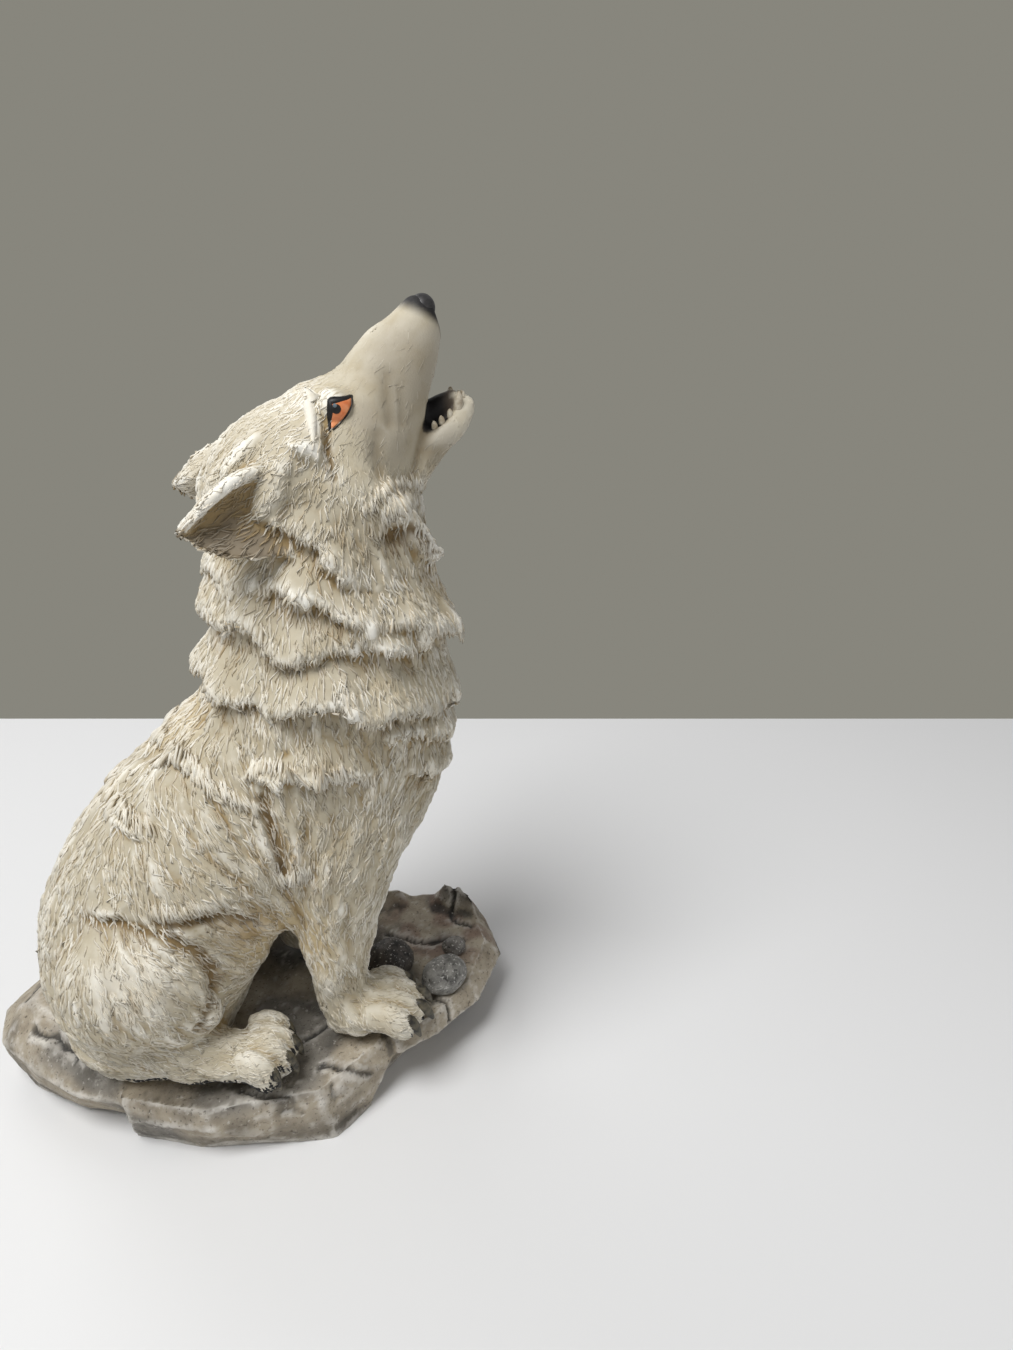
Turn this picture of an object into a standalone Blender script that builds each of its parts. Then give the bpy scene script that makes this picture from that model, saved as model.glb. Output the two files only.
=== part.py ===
"""A howling wolf that sits on a rock: one solid resin casting, painted by hand.

The wolf looks along +X and its left side is +Y. The origin is on the table, under the middle of the rock.
The figure is built the way a sculptor builds it. Big lofted masses come first and are blended like clay.
The mouth is cut into them, the face, ears, paws and ledges of fur go on top, and the rock comes last.
"""

import math
import random

import bmesh
import bpy
import numpy as np
from mathutils import Matrix, Vector
from mathutils.bvhtree import BVHTree

MM = 0.001

# Every height in the tables below is measured from the rock's seat, which lies this far over the table.
SEAT_HEIGHT = 30.0
# How deep the rock's stones reach below the table before the underside is cut flat.
UNDERCUT = 4.0

# Clay: how finely the forms are fused, and how often the joints are rubbed smooth.
MASS_GRAIN = 2.4
MASS_RUB_COUNT = 7
HOLLOW_GRAIN = 1.0
HOLLOW_RUB_COUNT = 5
FORM_GRAIN = 1.5
FORM_RUB_COUNT = 1
CAST_TRIANGLE_COUNT = 11300
# How much more of the triangles the face keeps than the rest when the cast is thinned, and where it is:
# in front of FACE_BACK and over FACE_LOW.
FACE_CARE = 0.007
FACE_BACK = 36.0
FACE_LOW = 243.0
# No locks of fur lie in front of MUZZLE_BACK and over MUZZLE_LOW.
MUZZLE_BACK = 40.0
MUZZLE_LOW = 232.0

# How high the neck's top lies over the seat: the head goes up and down with it.
NECK_TOP = 222.0
# How far the rock reaches from the middle: under the wolf's nose, behind its rump, and to both sides.
ROCK_FRONT = 112.0
ROCK_BACK = 112.0
ROCK_NEAR = 61.0
ROCK_FAR = 69.0
EAR_SPREAD = 32.0
EAR_THICKNESS = 3.6
EAR_CUP = 7.0
EYE_RADIUS = 6.5
NOSE_WIDTH = 6.2
TOE_WIDTH = 5.4
TOE_PITCH = 6.8
TOE_HEIGHT = 12.5
CLAW_LENGTH = 5.0
HIP_SPREAD = 32.0
LEG_SPREAD = 28.0
# The far front leg stands this much further back than the near one.
FAR_LEG_BACK = 12.0
FRONT_PAW_X = 47.0
HIND_PAW_X = -5.0
FRONT_TOE_REACH = 13.5
HIND_TOE_REACH = 10.0
PEBBLE_RADIUS = 11.0

# Stations of the lofted masses: x, y, z, half width, half depth.
TRUNK = [
    (-45, 0, 6, 38, 34), (-42, 0, 37, 42, 42), (-33, 0, 59, 42, 45), (-14.5, 0, 82, 40, 47),
    (18, 0, 102, 40, 54), (36, 0, 127, 42, 50), (42.5, 0, 164, 38, 43.5), (43.5, 0, 192, 34, 39.5),
    (48, 0, NECK_TOP, 30, 31),
]
# The head's heights are measured from the top of the neck.
MUZZLE = [
    (48, 0, 12, 24, 24), (58, 0, 21, 22, 23), (65.4, 0, 32.2, 17, 20.5), (76, 0, 47.5, 12.5, 13.2),
    (79, 0, 53.8, 11, 11), (80.7, 0, 60, 8.5, 7.8), (81.2, 0, 64.5, 6, 4.6),
]
JAW = [
    (66, 0, 2, 18, 12), (76, 0, 10, 14, 8.5), (84, 0, 16.5, 11, 6.6), (92, 0, 23.5, 9, 6),
    (96.5, 0, 28, 7.2, 5), (98.5, 0, 30.5, 5.6, 3.6),
]
# The mouth is cut right through between the lips. The lower lips and the tongue stand up in it.
LIP_GAP = [
    (83.3, 0, 25, 20, 3.8), (85.9, 0, 29, 20, 5.6), (88.5, 0, 34.5, 20, 6.3), (91.4, 0, 40, 20, 6.9),
    (95, 0, 47, 20, 8.8),
]
LOWER_LIP = [
    (80.5, 9.8, 18, 2, 2.4), (86.5, 9.3, 19.4, 2.1, 4.2), (91.7, 7.8, 22.6, 2.1, 4.2), (96.2, 5, 27.6, 2, 3.6),
    (98.5, 1.8, 31, 1.8, 2.6),
]
TONGUE = [(80, 0, 17, 6, 5), (85.5, 0, 22, 6, 5), (90.5, 0, 26.6, 5.4, 3.8), (95, 0, 31, 3.8, 2.4)]
# The fold between the brow and the eye.
EYE_FOLD = [
    (46, 16, 44, 1.2, 1.2), (43.5, 19, 37, 2.0, 2.2), (42.5, 21.5, 27, 2.2, 2.4), (44.5, 23.5, 17, 1.2, 1.2),
]
# From here on, heights are measured from the seat again.
FRONT_LEG = [
    (44, -8, 128, 13, 20), (39, 0, 102, 16, 24), (35, 1, 78, 15, 19.5),
    (31, 0, 54, 12.5, 15.5), (30, 0, 28, 10, 10.5), (32, 0, 6, 10, 10),
]
PASTERN = [(30, 0, 8, 10.5, 9), (41, 0, 11, 12.5, 10), (49, 1, 11, 13, 9)]
HIND_FOOT = [(-56, -8, 16, 11, 13), (-36, 2, 14, 11, 12), (-16, 9, 9.5, 10.5, 9), (-2, 13, 9, 11, 9)]
TAIL = [
    (-62, 2, 22, 12, 12), (-72, 24, 11, 12, 11), (-62, 43, 8, 12, 10), (-34, 50, 7, 11, 10),
    (-8, 51, 5, 9, 8), (10, 49, 3, 4, 4),
]
CHEEK_CURL = [
    (52, 22, 10, 4, 5), (62, 23.5, 0, 5, 6), (72, 20, -11, 5, 5),
    (79, 16, -20, 3.5, 3.5), (87, 10, -18, 1.2, 1.2),
]
# Rounded masses: centre, radii (along, across, up) and how far they are pitched up.
SKULL = ((30, 0, 9), (31, 28, 22), 38)
CROWN = ((42, 0, 29), (9, 13, 10), 40)
NAPE = ((25, 0, -10), (19, 25, 24), 10)
CHEEK = ((48, 18, -3), (21, 13, 25), 30)
HAUNCH = ((-45, HIP_SPREAD, 49), (29, 20, 28), 0)
STIFLE = ((-33, HIP_SPREAD + 2, 36), (16, 14, 20), -30)
EYE = ((49, 12, 32.5), (EYE_RADIUS, EYE_RADIUS, EYE_RADIUS), 0)
NOSE = ((83.5, 0, 62), (5, NOSE_WIDTH, 5.5), -30)
# How far the paws stand out from the middle of their legs.
FRONT_PAW_OUT = 5.0
HIND_PAW_OUT = 10.0
# Lengths of the four toes as shares of the reach, and the turn between two of them in degrees.
TOE_SHARES = ((-1.5, 0.82), (-0.5, 1.0), (0.5, 1.0), (1.5, 0.82))
TOE_FAN_DEG = 9.0
# Stations along a toe: share of its reach, share of TOE_HEIGHT, share of TOE_WIDTH, half depth.
TOE_STATIONS = (
    (-0.35, 0.95, 0.9, 6.5), (0.3, 0.98, 1.0, 6.8), (0.75, 0.72, 1.0, 6.2), (1.05, 0.45, 0.85, 4.6),
)

# Both rims of an ear, from the skull out to the tip: x, share of EAR_SPREAD, z.
EAR_RIM_TOP = [(28, 0.60, 16), (16, 0.80, 16), (4, 0.94, 10), (-7, 1.0, 1)]
EAR_RIM_LOW = [(28, 0.95, -11), (14, 1.07, -10.5), (3, 1.05, -7.5), (-7, 1.0, 0)]

# Ledges of fur round the neck: (angle from the spine, height) along the lower edge, then the
# ledge's height and how far its edge stands off the coat.
RINGS = [
    ([(0, 199), (42, 197), (72, 196), (86, 190), (112, 185), (138, 179), (180, 176)], 20, 5.5),
    ([(0, 186), (42, 186), (60, 178), (80, 179), (112, 177), (148, 172), (180, 169)], 20, 6.5),
    ([(0, 160), (32, 158), (48, 162), (62, 158), (82, 162), (96, 153), (110, 151), (138, 148), (180, 145)],
     24, 6.5),
]
# The same for ledges that run over a part of each side only.
ARCS = [
    ([(38, 224), (58, 221), (70, 214), (82, 207), (100, 200), (118, 193)], 20, 4.5),
    ([(50, 129), (62, 132), (70, 134), (82, 133), (98, 127), (106, 125)], 17, 4.2),
    ([(104, 142), (118, 140), (132, 135), (150, 131), (178, 129)], 18, 5.0),
    ([(118, 122), (128, 120), (142, 118), (160, 114), (178, 112)], 17, 4.5),
]
# Ledges on the body, seen from the side: (x, z) along the edge, the way up the coat, height, lift.
BODY_LEDGES = [
    ([(-33, 137), (-26, 137), (-18, 133), (-8, 129)], (-0.35, 0, 0.94), 13, 2.8),
    ([(-18, 126), (-6, 124), (6, 119), (14, 114)], (-0.45, 0, 0.9), 12, 2.2),
    ([(-54, 111), (-46, 113), (-33, 109)], (-0.35, 0, 0.94), 12, 2.4),
    ([(9, 87), (15, 89), (23, 93)], (-0.2, 0, 0.98), 12, 2.6),
    ([(-34, 82), (-24, 81), (-14, 84), (-4, 84), (4, 80)], (-0.4, 0, 0.92), 16, 3.0),
    ([(-66, 76), (-56, 82), (-44, 84)], (-0.3, 0, 0.95), 12, 2.0),
    ([(41, NECK_TOP + 44), (41.5, NECK_TOP + 36), (41, NECK_TOP + 27), (43, NECK_TOP + 18)], (-1.0, 0, -0.15),
     12, 2.6),
]
# Half of a ledge's section, from its root to its edge and back under it: share of height up the coat,
# share of lift off it, and how far into the coat the point is sunk.
LEDGE_SECTION = (
    (1.0, 0.0, 2.0), (0.62, 0.22, 0.0), (0.3, 0.7, 0.0), (0.08, 1.0, 0.0), (-0.05, 0.85, 0.0),
    (0.05, 0.25, 0.0), (0.12, 0.0, 2.5),
)
LEDGE_STEP = 2.6
# Every 3 to 10 steps a tuft hangs over a ledge's edge: drops along it and shares of the ledge's lift.
TUFT_GAP_COUNT = (3, 10)
TUFT_FULL_LIFT = 5.5
TUFT_PATH = ((12, 0.3), (7, 0.65), (2.5, 0.95), (-1.5, 0.95), (-5, 0.65))
# Half of a lock's section: share of half its width, share of its height, how far it is sunk.
LOCK_SECTION = ((-1, 0, 0.8), (-0.55, 0.7, 0), (0.05, 1, 0), (0.6, 0.6, 0), (1, 0, 0.8))
LOCK_SPACING = 15.0
LOCK_KNOTS = 6
LOCK_LENGTHS = (18, 28)
LOCK_WIDTHS = (7, 11)
LOCK_HEIGHTS = (1.3, 2.4)
FRINGE_DEPTH = 2.4
# The ledges hang down further in tufts, about this wide and this deep.
TUFT_SPACING = 9.0
TUFT_DEPTH = 2.8

# Guide hairs on the right side: a place and the way the fur lies there. The left side mirrors them.
GUIDES = [
    ((41, 0, 262), (-0.8, 0, -0.4)), ((29, 0, 256), (-0.8, 0, -0.6)), ((15, 0, 245), (-0.7, 0, -0.7)),
    ((46, -12, 258), (-0.8, -0.2, -0.5)), ((35, -26, 240), (-0.5, 0, -0.85)), ((30, -30, 225), (-0.2, 0, -1)),
    ((45, -30, 222), (0.1, 0, -1)), ((60, -28, 225), (0.3, 0, -0.95)), ((75, -12, 268), (-0.55, 0, -0.85)),
    ((62, -20, 246), (-0.35, 0, -0.95)), ((86, 0, 228), (-0.2, 0, -1)), ((86, -8, 242), (-0.5, 0, -0.85)),
    ((15, -31, 228), (-1, -0.1, -0.25)), ((5, -32, 225), (-1, -0.1, -0.25)),
    ((-3, -33, 222), (-1, -0.1, -0.2)),
    ((45, -40, 195), (0.12, 0, -1)), ((90, 0, 170), (0.1, 0, -1)), ((5, 0, 190), (-0.25, 0, -1)),
    ((20, -42, 150), (0.05, 0, -1)), ((30, -44, 130), (0.1, 0, -1)), ((92, 0, 125), (-0.1, 0, -1)),
    ((70, -30, 110), (-0.35, 0, -0.93)), ((-24, 0, 138), (-0.6, 0, -0.8)), ((-49, 0, 115), (-0.5, 0, -0.85)),
    ((-67, 0, 94), (-0.35, 0, -0.95)), ((-80, 0, 66), (-0.15, 0, -1)), ((-85, 0, 31), (0, 0, -1)),
    ((-30, -38, 125), (0.5, 0, -0.85)), ((-10, -40, 115), (0.5, 0, -0.85)), ((0, -40, 90), (0.45, 0, -0.9)),
    ((-40, -38, 105), (0.3, 0, -0.95)), ((-60, -34, 85), (0.1, 0, -1)), ((0, -35, 65), (0.5, 0, -0.85)),
    ((-45, -48, 75), (0.3, 0, -0.95)), ((-20, -48, 60), (0.75, 0, -0.65)), ((-42, -52, 50), (0.25, 0, -0.97)),
    ((-66, -45, 45), (-0.1, 0, -1)), ((-45, -50, 25), (0.4, 0, -0.9)), ((-20, -45, 12), (0.9, -0.35, -0.1)),
    ((0, -48, 12), (0.9, -0.3, -0.2)), ((60, -38, 95), (-0.6, 0, -0.8)), ((40, -44, 95), (-0.25, 0, -0.97)),
    ((25, -46, 85), (-0.1, 0, -1)), ((45, -42, 80), (-0.35, 0, -0.93)), ((30, -40, 45), (0.1, 0, -1)),
    ((35, -38, 20), (0.2, 0, -1)), ((52, -36, 16), (0.95, 0, -0.3)), ((60, -36, 10), (0.9, 0, -0.5)),
    ((-70, -20, 15), (-0.3, -0.9, -0.2)), ((-66, -42, 12), (0.6, -0.5, 0)), ((-34, -55, 8), (1, -0.05, 0)),
    ((0, -52, 6), (1, 0, -0.1)),
]
GUIDE_REACH = 14.0


def spline(points, count):
    """A smooth Catmull-Rom curve through rows of numbers, read at count even steps."""
    rows = np.array(points, float)
    rows = np.vstack([2 * rows[0] - rows[1], rows, 2 * rows[-1] - rows[-2]])
    spans = len(rows) - 3
    out = []
    for t in np.linspace(0, spans, count):
        i = min(int(t), spans - 1)
        u = t - i
        a, b, c, d = rows[i : i + 4]
        out.append(
            0.5 * (2 * b + (c - a) * u + (2 * a - 5 * b + 4 * c - d) * u**2
                   + (3 * b - a - 3 * c + d) * u**3)
        )
    return np.array(out)


def unit(vector):
    return vector / np.linalg.norm(vector)


def rings_of(stations, across, steps):
    """Centre, direction, side vector and depth vector of each ring of a loft."""
    rows = spline(stations, steps)
    centres = rows[:, :3]
    rings = []
    for centre, ahead, width, depth in zip(centres, np.gradient(centres, axis=0), rows[:, 3], rows[:, 4]):
        ahead = unit(ahead)
        side = unit(np.array(across, float) - np.dot(across, ahead) * ahead)
        rings.append((centre, ahead, side * width, np.cross(ahead, side) * depth))
    return rings


def loft(bm, stations, across=(0, 1, 0), sides=20, steps=24, cap=0.5):
    """A closed tube through the stations, with rounded ends."""
    rings = rings_of(stations, across, steps)
    sections = [(centre, side, up) for centre, _, side, up in rings]
    for end, sign in ((0, -1), (-1, 1)):
        centre, ahead, side, up = rings[end]
        reach = cap * min(np.linalg.norm(side), np.linalg.norm(up))
        for turn in (30, 60, 85):
            angle = math.radians(turn)
            section = (centre + sign * ahead * reach * math.sin(angle),
                       side * math.cos(angle), up * math.cos(angle))
            sections.insert(0 if sign < 0 else len(sections), section)
    loops = []
    for centre, side, up in sections:
        turns = [2 * math.pi * k / sides for k in range(sides)]
        points = [centre + side * math.cos(a) + up * math.sin(a) for a in turns]
        loops.append([bm.verts.new(Vector(p) * MM) for p in points])
    for lower, upper in zip(loops, loops[1:]):
        for k in range(sides):
            n = (k + 1) % sides
            bm.faces.new((lower[k], lower[n], upper[n], upper[k]))
    bm.faces.new(loops[0][::-1])
    bm.faces.new(loops[-1])


def ball(bm, centre, radii, pitch=0.0, yaw=0.0):
    """An ellipsoid of radii (along, across, up), pitched up and turned, in degrees."""
    turn = Matrix.Rotation(math.radians(yaw), 4, "Z") @ Matrix.Rotation(math.radians(-pitch), 4, "Y")
    size = Matrix.Diagonal((*[r * MM for r in radii], 1))
    place = Matrix.Translation(Vector(centre) * MM) @ turn @ size
    bmesh.ops.create_uvsphere(bm, u_segments=20, v_segments=12, radius=1, matrix=place)


def stone(bm, *outlines):
    """A stone: the convex hull of outlines, each one a height and its corners."""
    corners = [bm.verts.new(Vector((x, y, z)) * MM) for z, outline in outlines for x, y in outline]
    made = bmesh.ops.convex_hull(bm, input=corners)
    spare = [g for g in made["geom_interior"] if isinstance(g, bmesh.types.BMVert)]
    bmesh.ops.delete(bm, geom=spare, context="VERTS")


def shifted(stations, dx, dy, side):
    """Stations moved back by dx and out by dy, on the left (side 1) or the right (side -1)."""
    return [(x + dx, side * (y + dy), z, width, depth) for x, y, z, width, depth in stations]


def raised(point):
    """A point of the head, from its height over the neck to its height over the seat."""
    x, y, z = point
    return (x, y, z + NECK_TOP)


def on_neck(rows):
    """Rows of the head, x, y, z and more, lifted to the top of the neck in the same way."""
    return [(*raised(row[:3]), *row[3:]) for row in rows]


def wolf_masses(bm):
    loft(bm, TRUNK, steps=40, sides=32)
    for centre, radii, pitch in (SKULL, CROWN, NAPE):
        ball(bm, raised(centre), radii, pitch)
    loft(bm, on_neck(MUZZLE), steps=30)
    loft(bm, on_neck(JAW))
    for side in (-1, 1):
        (x, y, z), radii, pitch = CHEEK
        ball(bm, raised((x, side * y, z)), radii, pitch)
        for (x, y, z), radii, pitch in (HAUNCH, STIFLE):
            ball(bm, (x, side * y, z), radii, pitch)
        loft(bm, shifted(HIND_FOOT, 0, HIP_SPREAD, side))
        back = -FAR_LEG_BACK if side > 0 else 0
        loft(bm, shifted(FRONT_LEG, back, LEG_SPREAD, side))
        loft(bm, shifted(PASTERN, back, LEG_SPREAD + 3, side))
    loft(bm, TAIL)


def hollows(bm):
    """What is carved out of the masses: the mouth and the folds behind the eyes."""
    loft(bm, on_neck(LIP_GAP))
    for side in (-1, 1):
        loft(bm, shifted(on_neck(EYE_FOLD), 0, 0, side), sides=12)


def ear(bm, side):
    """A cupped, pointed shell between the two rims, open outwards."""
    steps, across = 12, 8
    rims = [spline(on_neck(rim), steps) for rim in (EAR_RIM_TOP, EAR_RIM_LOW)]
    grids = []
    for offset in (0.0, EAR_THICKNESS):
        grid = []
        for k in range(steps):
            top, low = (np.array((r[k][0], r[k][1] * EAR_SPREAD, r[k][2])) for r in rims)
            width = np.linalg.norm(top - low)
            row = []
            for j in range(across + 1):
                v = j / across
                cup = EAR_CUP * min(1.0, width / 20) * 4 * v * (1 - v)
                p = top + (low - top) * v + np.array((0.15, -0.9, 0.35)) * (cup + offset)
                row.append(bm.verts.new(Vector((p[0], side * p[1], p[2])) * MM))
            grid.append(row)
        grids.append(grid)
    inner, outer = grids
    for k in range(steps - 1):
        for j in range(across):
            bm.faces.new((inner[k][j], inner[k + 1][j], inner[k + 1][j + 1], inner[k][j + 1]))
            bm.faces.new((outer[k][j], outer[k][j + 1], outer[k + 1][j + 1], outer[k + 1][j]))
        for j in (0, across):
            bm.faces.new((inner[k][j], inner[k + 1][j], outer[k + 1][j], outer[k][j]))
    for k in (0, steps - 1):
        for j in range(across):
            bm.faces.new((inner[k][j], inner[k][j + 1], outer[k][j + 1], outer[k][j]))


def face(bm):
    for side in (-1, 1):
        (x, y, z), radii, pitch = EYE
        ball(bm, raised((x, side * y, z)), radii, pitch)
        loft(bm, shifted(on_neck(CHEEK_CURL), 0, 0, side), sides=10, steps=14)
        loft(bm, shifted(on_neck(LOWER_LIP), 0, 0, side), sides=10, steps=14)
    loft(bm, on_neck(TONGUE), sides=12, steps=10)
    centre, radii, pitch = NOSE
    ball(bm, raised(centre), radii, pitch)


def paw(bm, x, y, reach, yaw, side):
    """Four toes that fan from (x, y), each with a claw."""
    for spread, length in TOE_SHARES:
        turn = math.radians(yaw + TOE_FAN_DEG * spread)
        along = np.array((math.cos(turn), math.sin(turn)))
        across = (-math.sin(turn), side * math.cos(turn), 0)
        start = np.array((x, y)) + np.array((-math.sin(turn), math.cos(turn))) * spread * TOE_PITCH
        toe = []
        for share, rise, width, depth in TOE_STATIONS:
            px, py = start + along * reach * length * share
            toe.append((px, side * py, rise * TOE_HEIGHT, width * TOE_WIDTH, depth))
        loft(bm, toe, across=across, sides=14, steps=10)
        cx, cy = start + along * reach * length * 1.15
        tx, ty = start + along * (reach * length * 1.15 + CLAW_LENGTH)
        loft(bm, [(cx, side * cy, 6, 2, 2.4), (tx, side * ty, 2, 0.9, 1)], across=(0, 0, 1), sides=8, steps=4)


def lock(bm, path, width, height):
    """A lock of fur along a path of points and outward directions: a low ridge with pointed ends."""
    points = np.array([point for point, _ in path])
    ahead = np.gradient(points, axis=0)
    loops = []
    for k, (point, out) in enumerate(path):
        swell = math.sin(math.pi * (k + 0.4) / (len(path) - 0.2)) ** 0.7
        side = unit(np.cross(out, ahead[k])) * width * swell / 2
        loops.append([bm.verts.new(Vector(point + side * off + out * (rise * height * swell - sunk)) * MM)
                      for off, rise, sunk in LOCK_SECTION])
    around = len(LOCK_SECTION)
    for lower, upper in zip(loops, loops[1:]):
        for j in range(around):
            n = (j + 1) % around
            bm.faces.new((lower[j], lower[n], upper[n], upper[j]))
    bm.faces.new(loops[0][::-1])
    bm.faces.new(loops[-1])


def combed(points, normals):
    """The way the fur lies at each point: the guides' blend by distance, laid flat on the coat."""
    mirror = np.where(points[:, 1] > 0, -1.0, 1.0)
    near = points.copy()
    near[:, 1] *= mirror
    blend = np.zeros_like(points)
    for place, way in GUIDES:
        away = np.linalg.norm(near - np.array(place, float), axis=1)
        weight = np.exp(-((away / GUIDE_REACH) ** 2) / 2) + 1e-4 / (1 + away)
        blend += unit(np.array(way, float)) * weight[:, None]
    blend[:, 1] *= mirror
    blend -= (blend * normals).sum(1)[:, None] * normals
    return blend / np.maximum(np.linalg.norm(blend, axis=1), 1e-9)[:, None]


def main_locks(bm, body):
    """Locks spread over the coat: they start near the points of a loose grid and run with the fur."""
    rng = random.Random(23)
    starts, sizes = [], []
    for x in np.arange(-90, 100, LOCK_SPACING):
        for y in np.arange(-60, 61, LOCK_SPACING):
            for z in np.arange(12, 268, LOCK_SPACING):
                jitter = [rng.uniform(-0.3, 0.3) * LOCK_SPACING for _ in range(3)]
                size = [rng.uniform(*span) for span in (LOCK_LENGTHS, LOCK_WIDTHS, LOCK_HEIGHTS)]
                near = Vector((x, y, z)) + Vector(jitter)
                spot, normal, _, _ = body.find_nearest(near * MM, 0.55 * LOCK_SPACING * MM)
                if spot is None or (spot.x > MUZZLE_BACK * MM and spot.z > MUZZLE_LOW * MM):
                    continue
                start = np.array(spot) / MM
                if all(np.linalg.norm(start - other) > 0.75 * LOCK_SPACING for other, _ in starts):
                    starts.append((start, np.array(normal)))
                    sizes.append(size)
    points = np.array([start for start, _ in starts])
    normals = np.array([normal for _, normal in starts])
    lengths = np.array([length for length, _, _ in sizes])[:, None]
    paths = [list(zip(points, normals))]
    for _ in range(LOCK_KNOTS - 1):
        ahead = points + combed(points, normals) * lengths / (LOCK_KNOTS - 1)
        found = [body.find_nearest(Vector(p) * MM) for p in ahead]
        points = np.array([spot for spot, _, _, _ in found]) / MM
        normals = np.array([normal for _, normal, _, _ in found])
        paths.append(list(zip(points, normals)))
    for path, (_, width, height) in zip(zip(*paths), sizes):
        lock(bm, path, width, height)


def waves(count, rng):
    """Smooth random values from -1 to 1 along a line of count spots, the same at both ends."""
    knots = max(3, int(count * LEDGE_STEP / TUFT_SPACING))
    values = [rng.uniform(-1, 1) for _ in range(knots)]
    return np.interp(np.linspace(0, knots, count), np.arange(knots + 1), values + values[:1])


def ledge(bm, spots, height, lift, closed, rng):
    """A ledge of fur along spots, each one a point on the coat, its outward and its upward direction."""
    count = len(spots)
    tufts, swell = waves(count, rng), waves(count, rng)
    next_tuft = rng.randint(*TUFT_GAP_COUNT) // 2
    loops = []
    for k, (point, out, up) in enumerate(spots):
        full = 1.0 if closed else math.sqrt(math.sin(math.pi * (k + 0.5) / count))
        fray = TUFT_DEPTH * tufts[k] + FRINGE_DEPTH * rng.uniform(-0.5, 0.5)
        off_coat = lift * full * (0.9 + 0.5 * swell[k])
        loop = []
        for share, off, sunk in LEDGE_SECTION:
            rise = share * height * full + fray * (1 - share)
            loop.append(bm.verts.new(Vector(point + up * rise + out * (off * off_coat - sunk)) * MM))
        loops.append(loop)
        if k == next_tuft:
            next_tuft += rng.randint(*TUFT_GAP_COUNT)
            size = min(1.0, lift / TUFT_FULL_LIFT) * full * rng.uniform(0.6, 1.0)
            sway = np.cross(out, up) * rng.uniform(-4, 4) * size
            path = []
            for step, (drop, off) in enumerate(TUFT_PATH):
                hang = up * (fray + drop * size) + out * off_coat * off + sway * step / len(TUFT_PATH)
                path.append((point + hang, out))
            lock(bm, path, rng.uniform(6, 11) * size, rng.uniform(0.8, 2.2) * size)
    across = len(LEDGE_SECTION)
    for k in range(count if closed else count - 1):
        first, second = loops[k], loops[(k + 1) % count]
        for j in range(across):
            n = (j + 1) % across
            bm.faces.new((first[j], first[n], second[n], second[j]))
    if not closed:
        bm.faces.new(loops[0][::-1])
        bm.faces.new(loops[-1])


def neck_spots(body, rings, edge, side, first, last, count):
    """Spots on the body along an edge given as (angle from the spine, height) on the trunk."""
    line = spline(edge, 60)
    spots = []
    for k in range(count):
        angle = first + (last - first) * k / count
        height = np.interp(abs(angle), line[:, 0], line[:, 1])
        turn = math.radians(90 + side * angle)
        column = np.array([c + s * math.cos(turn) + u * math.sin(turn) for c, _, s, u in rings])
        place = np.interp(height, column[:, 2], np.arange(len(column)))
        low = min(int(place), len(column) - 2)
        point = column[low] + (column[low + 1] - column[low]) * (place - low)
        _, _, across, depth = rings[low]
        out = unit(across * math.cos(turn) + depth * math.sin(turn))
        hit, _, _, _ = body.ray_cast(Vector(point + 20 * out) * MM, Vector(-out))
        if hit is not None:
            point = np.array(hit) / MM
        spots.append((point, out, unit(column[low + 1] - column[low])))
    return spots


def side_spots(body, edge, up, side):
    """Spots along an edge drawn in the side view, dropped sideways onto the body."""
    length = np.linalg.norm(np.diff(np.array(edge, float), axis=0), axis=1).sum()
    spots = []
    for x, z in spline(edge, max(4, int(length / LEDGE_STEP))):
        spot, normal, _, _ = body.ray_cast(Vector((x, side * 200, z)) * MM, Vector((0, -side, 0)))
        if spot is not None:
            out = np.array(normal)
            spots.append((np.array(spot) / MM, out, unit(np.array(up) - np.dot(up, out) * out)))
    return spots


def fur_ledges(bm, body):
    """The layered coat: ledges round the neck, down the chest, over the flanks and along the brows."""
    rng = random.Random(11)
    rings = rings_of(TRUNK, (0, 1, 0), 81)
    for edge, height, lift in RINGS:
        spots = neck_spots(body, rings, edge, 1, -180, 180, int(240 / LEDGE_STEP))
        ledge(bm, spots, height, lift, True, rng)
    for side in (-1, 1):
        for edge, height, lift in ARCS:
            first, last = edge[0][0], edge[-1][0]
            count = int(0.7 * (last - first) / LEDGE_STEP)
            ledge(bm, neck_spots(body, rings, edge, -side, first, last, count), height, lift, False, rng)
        for edge, up, height, lift in BODY_LEDGES:
            ledge(bm, side_spots(body, edge, up, side), height, lift, False, rng)


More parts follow.
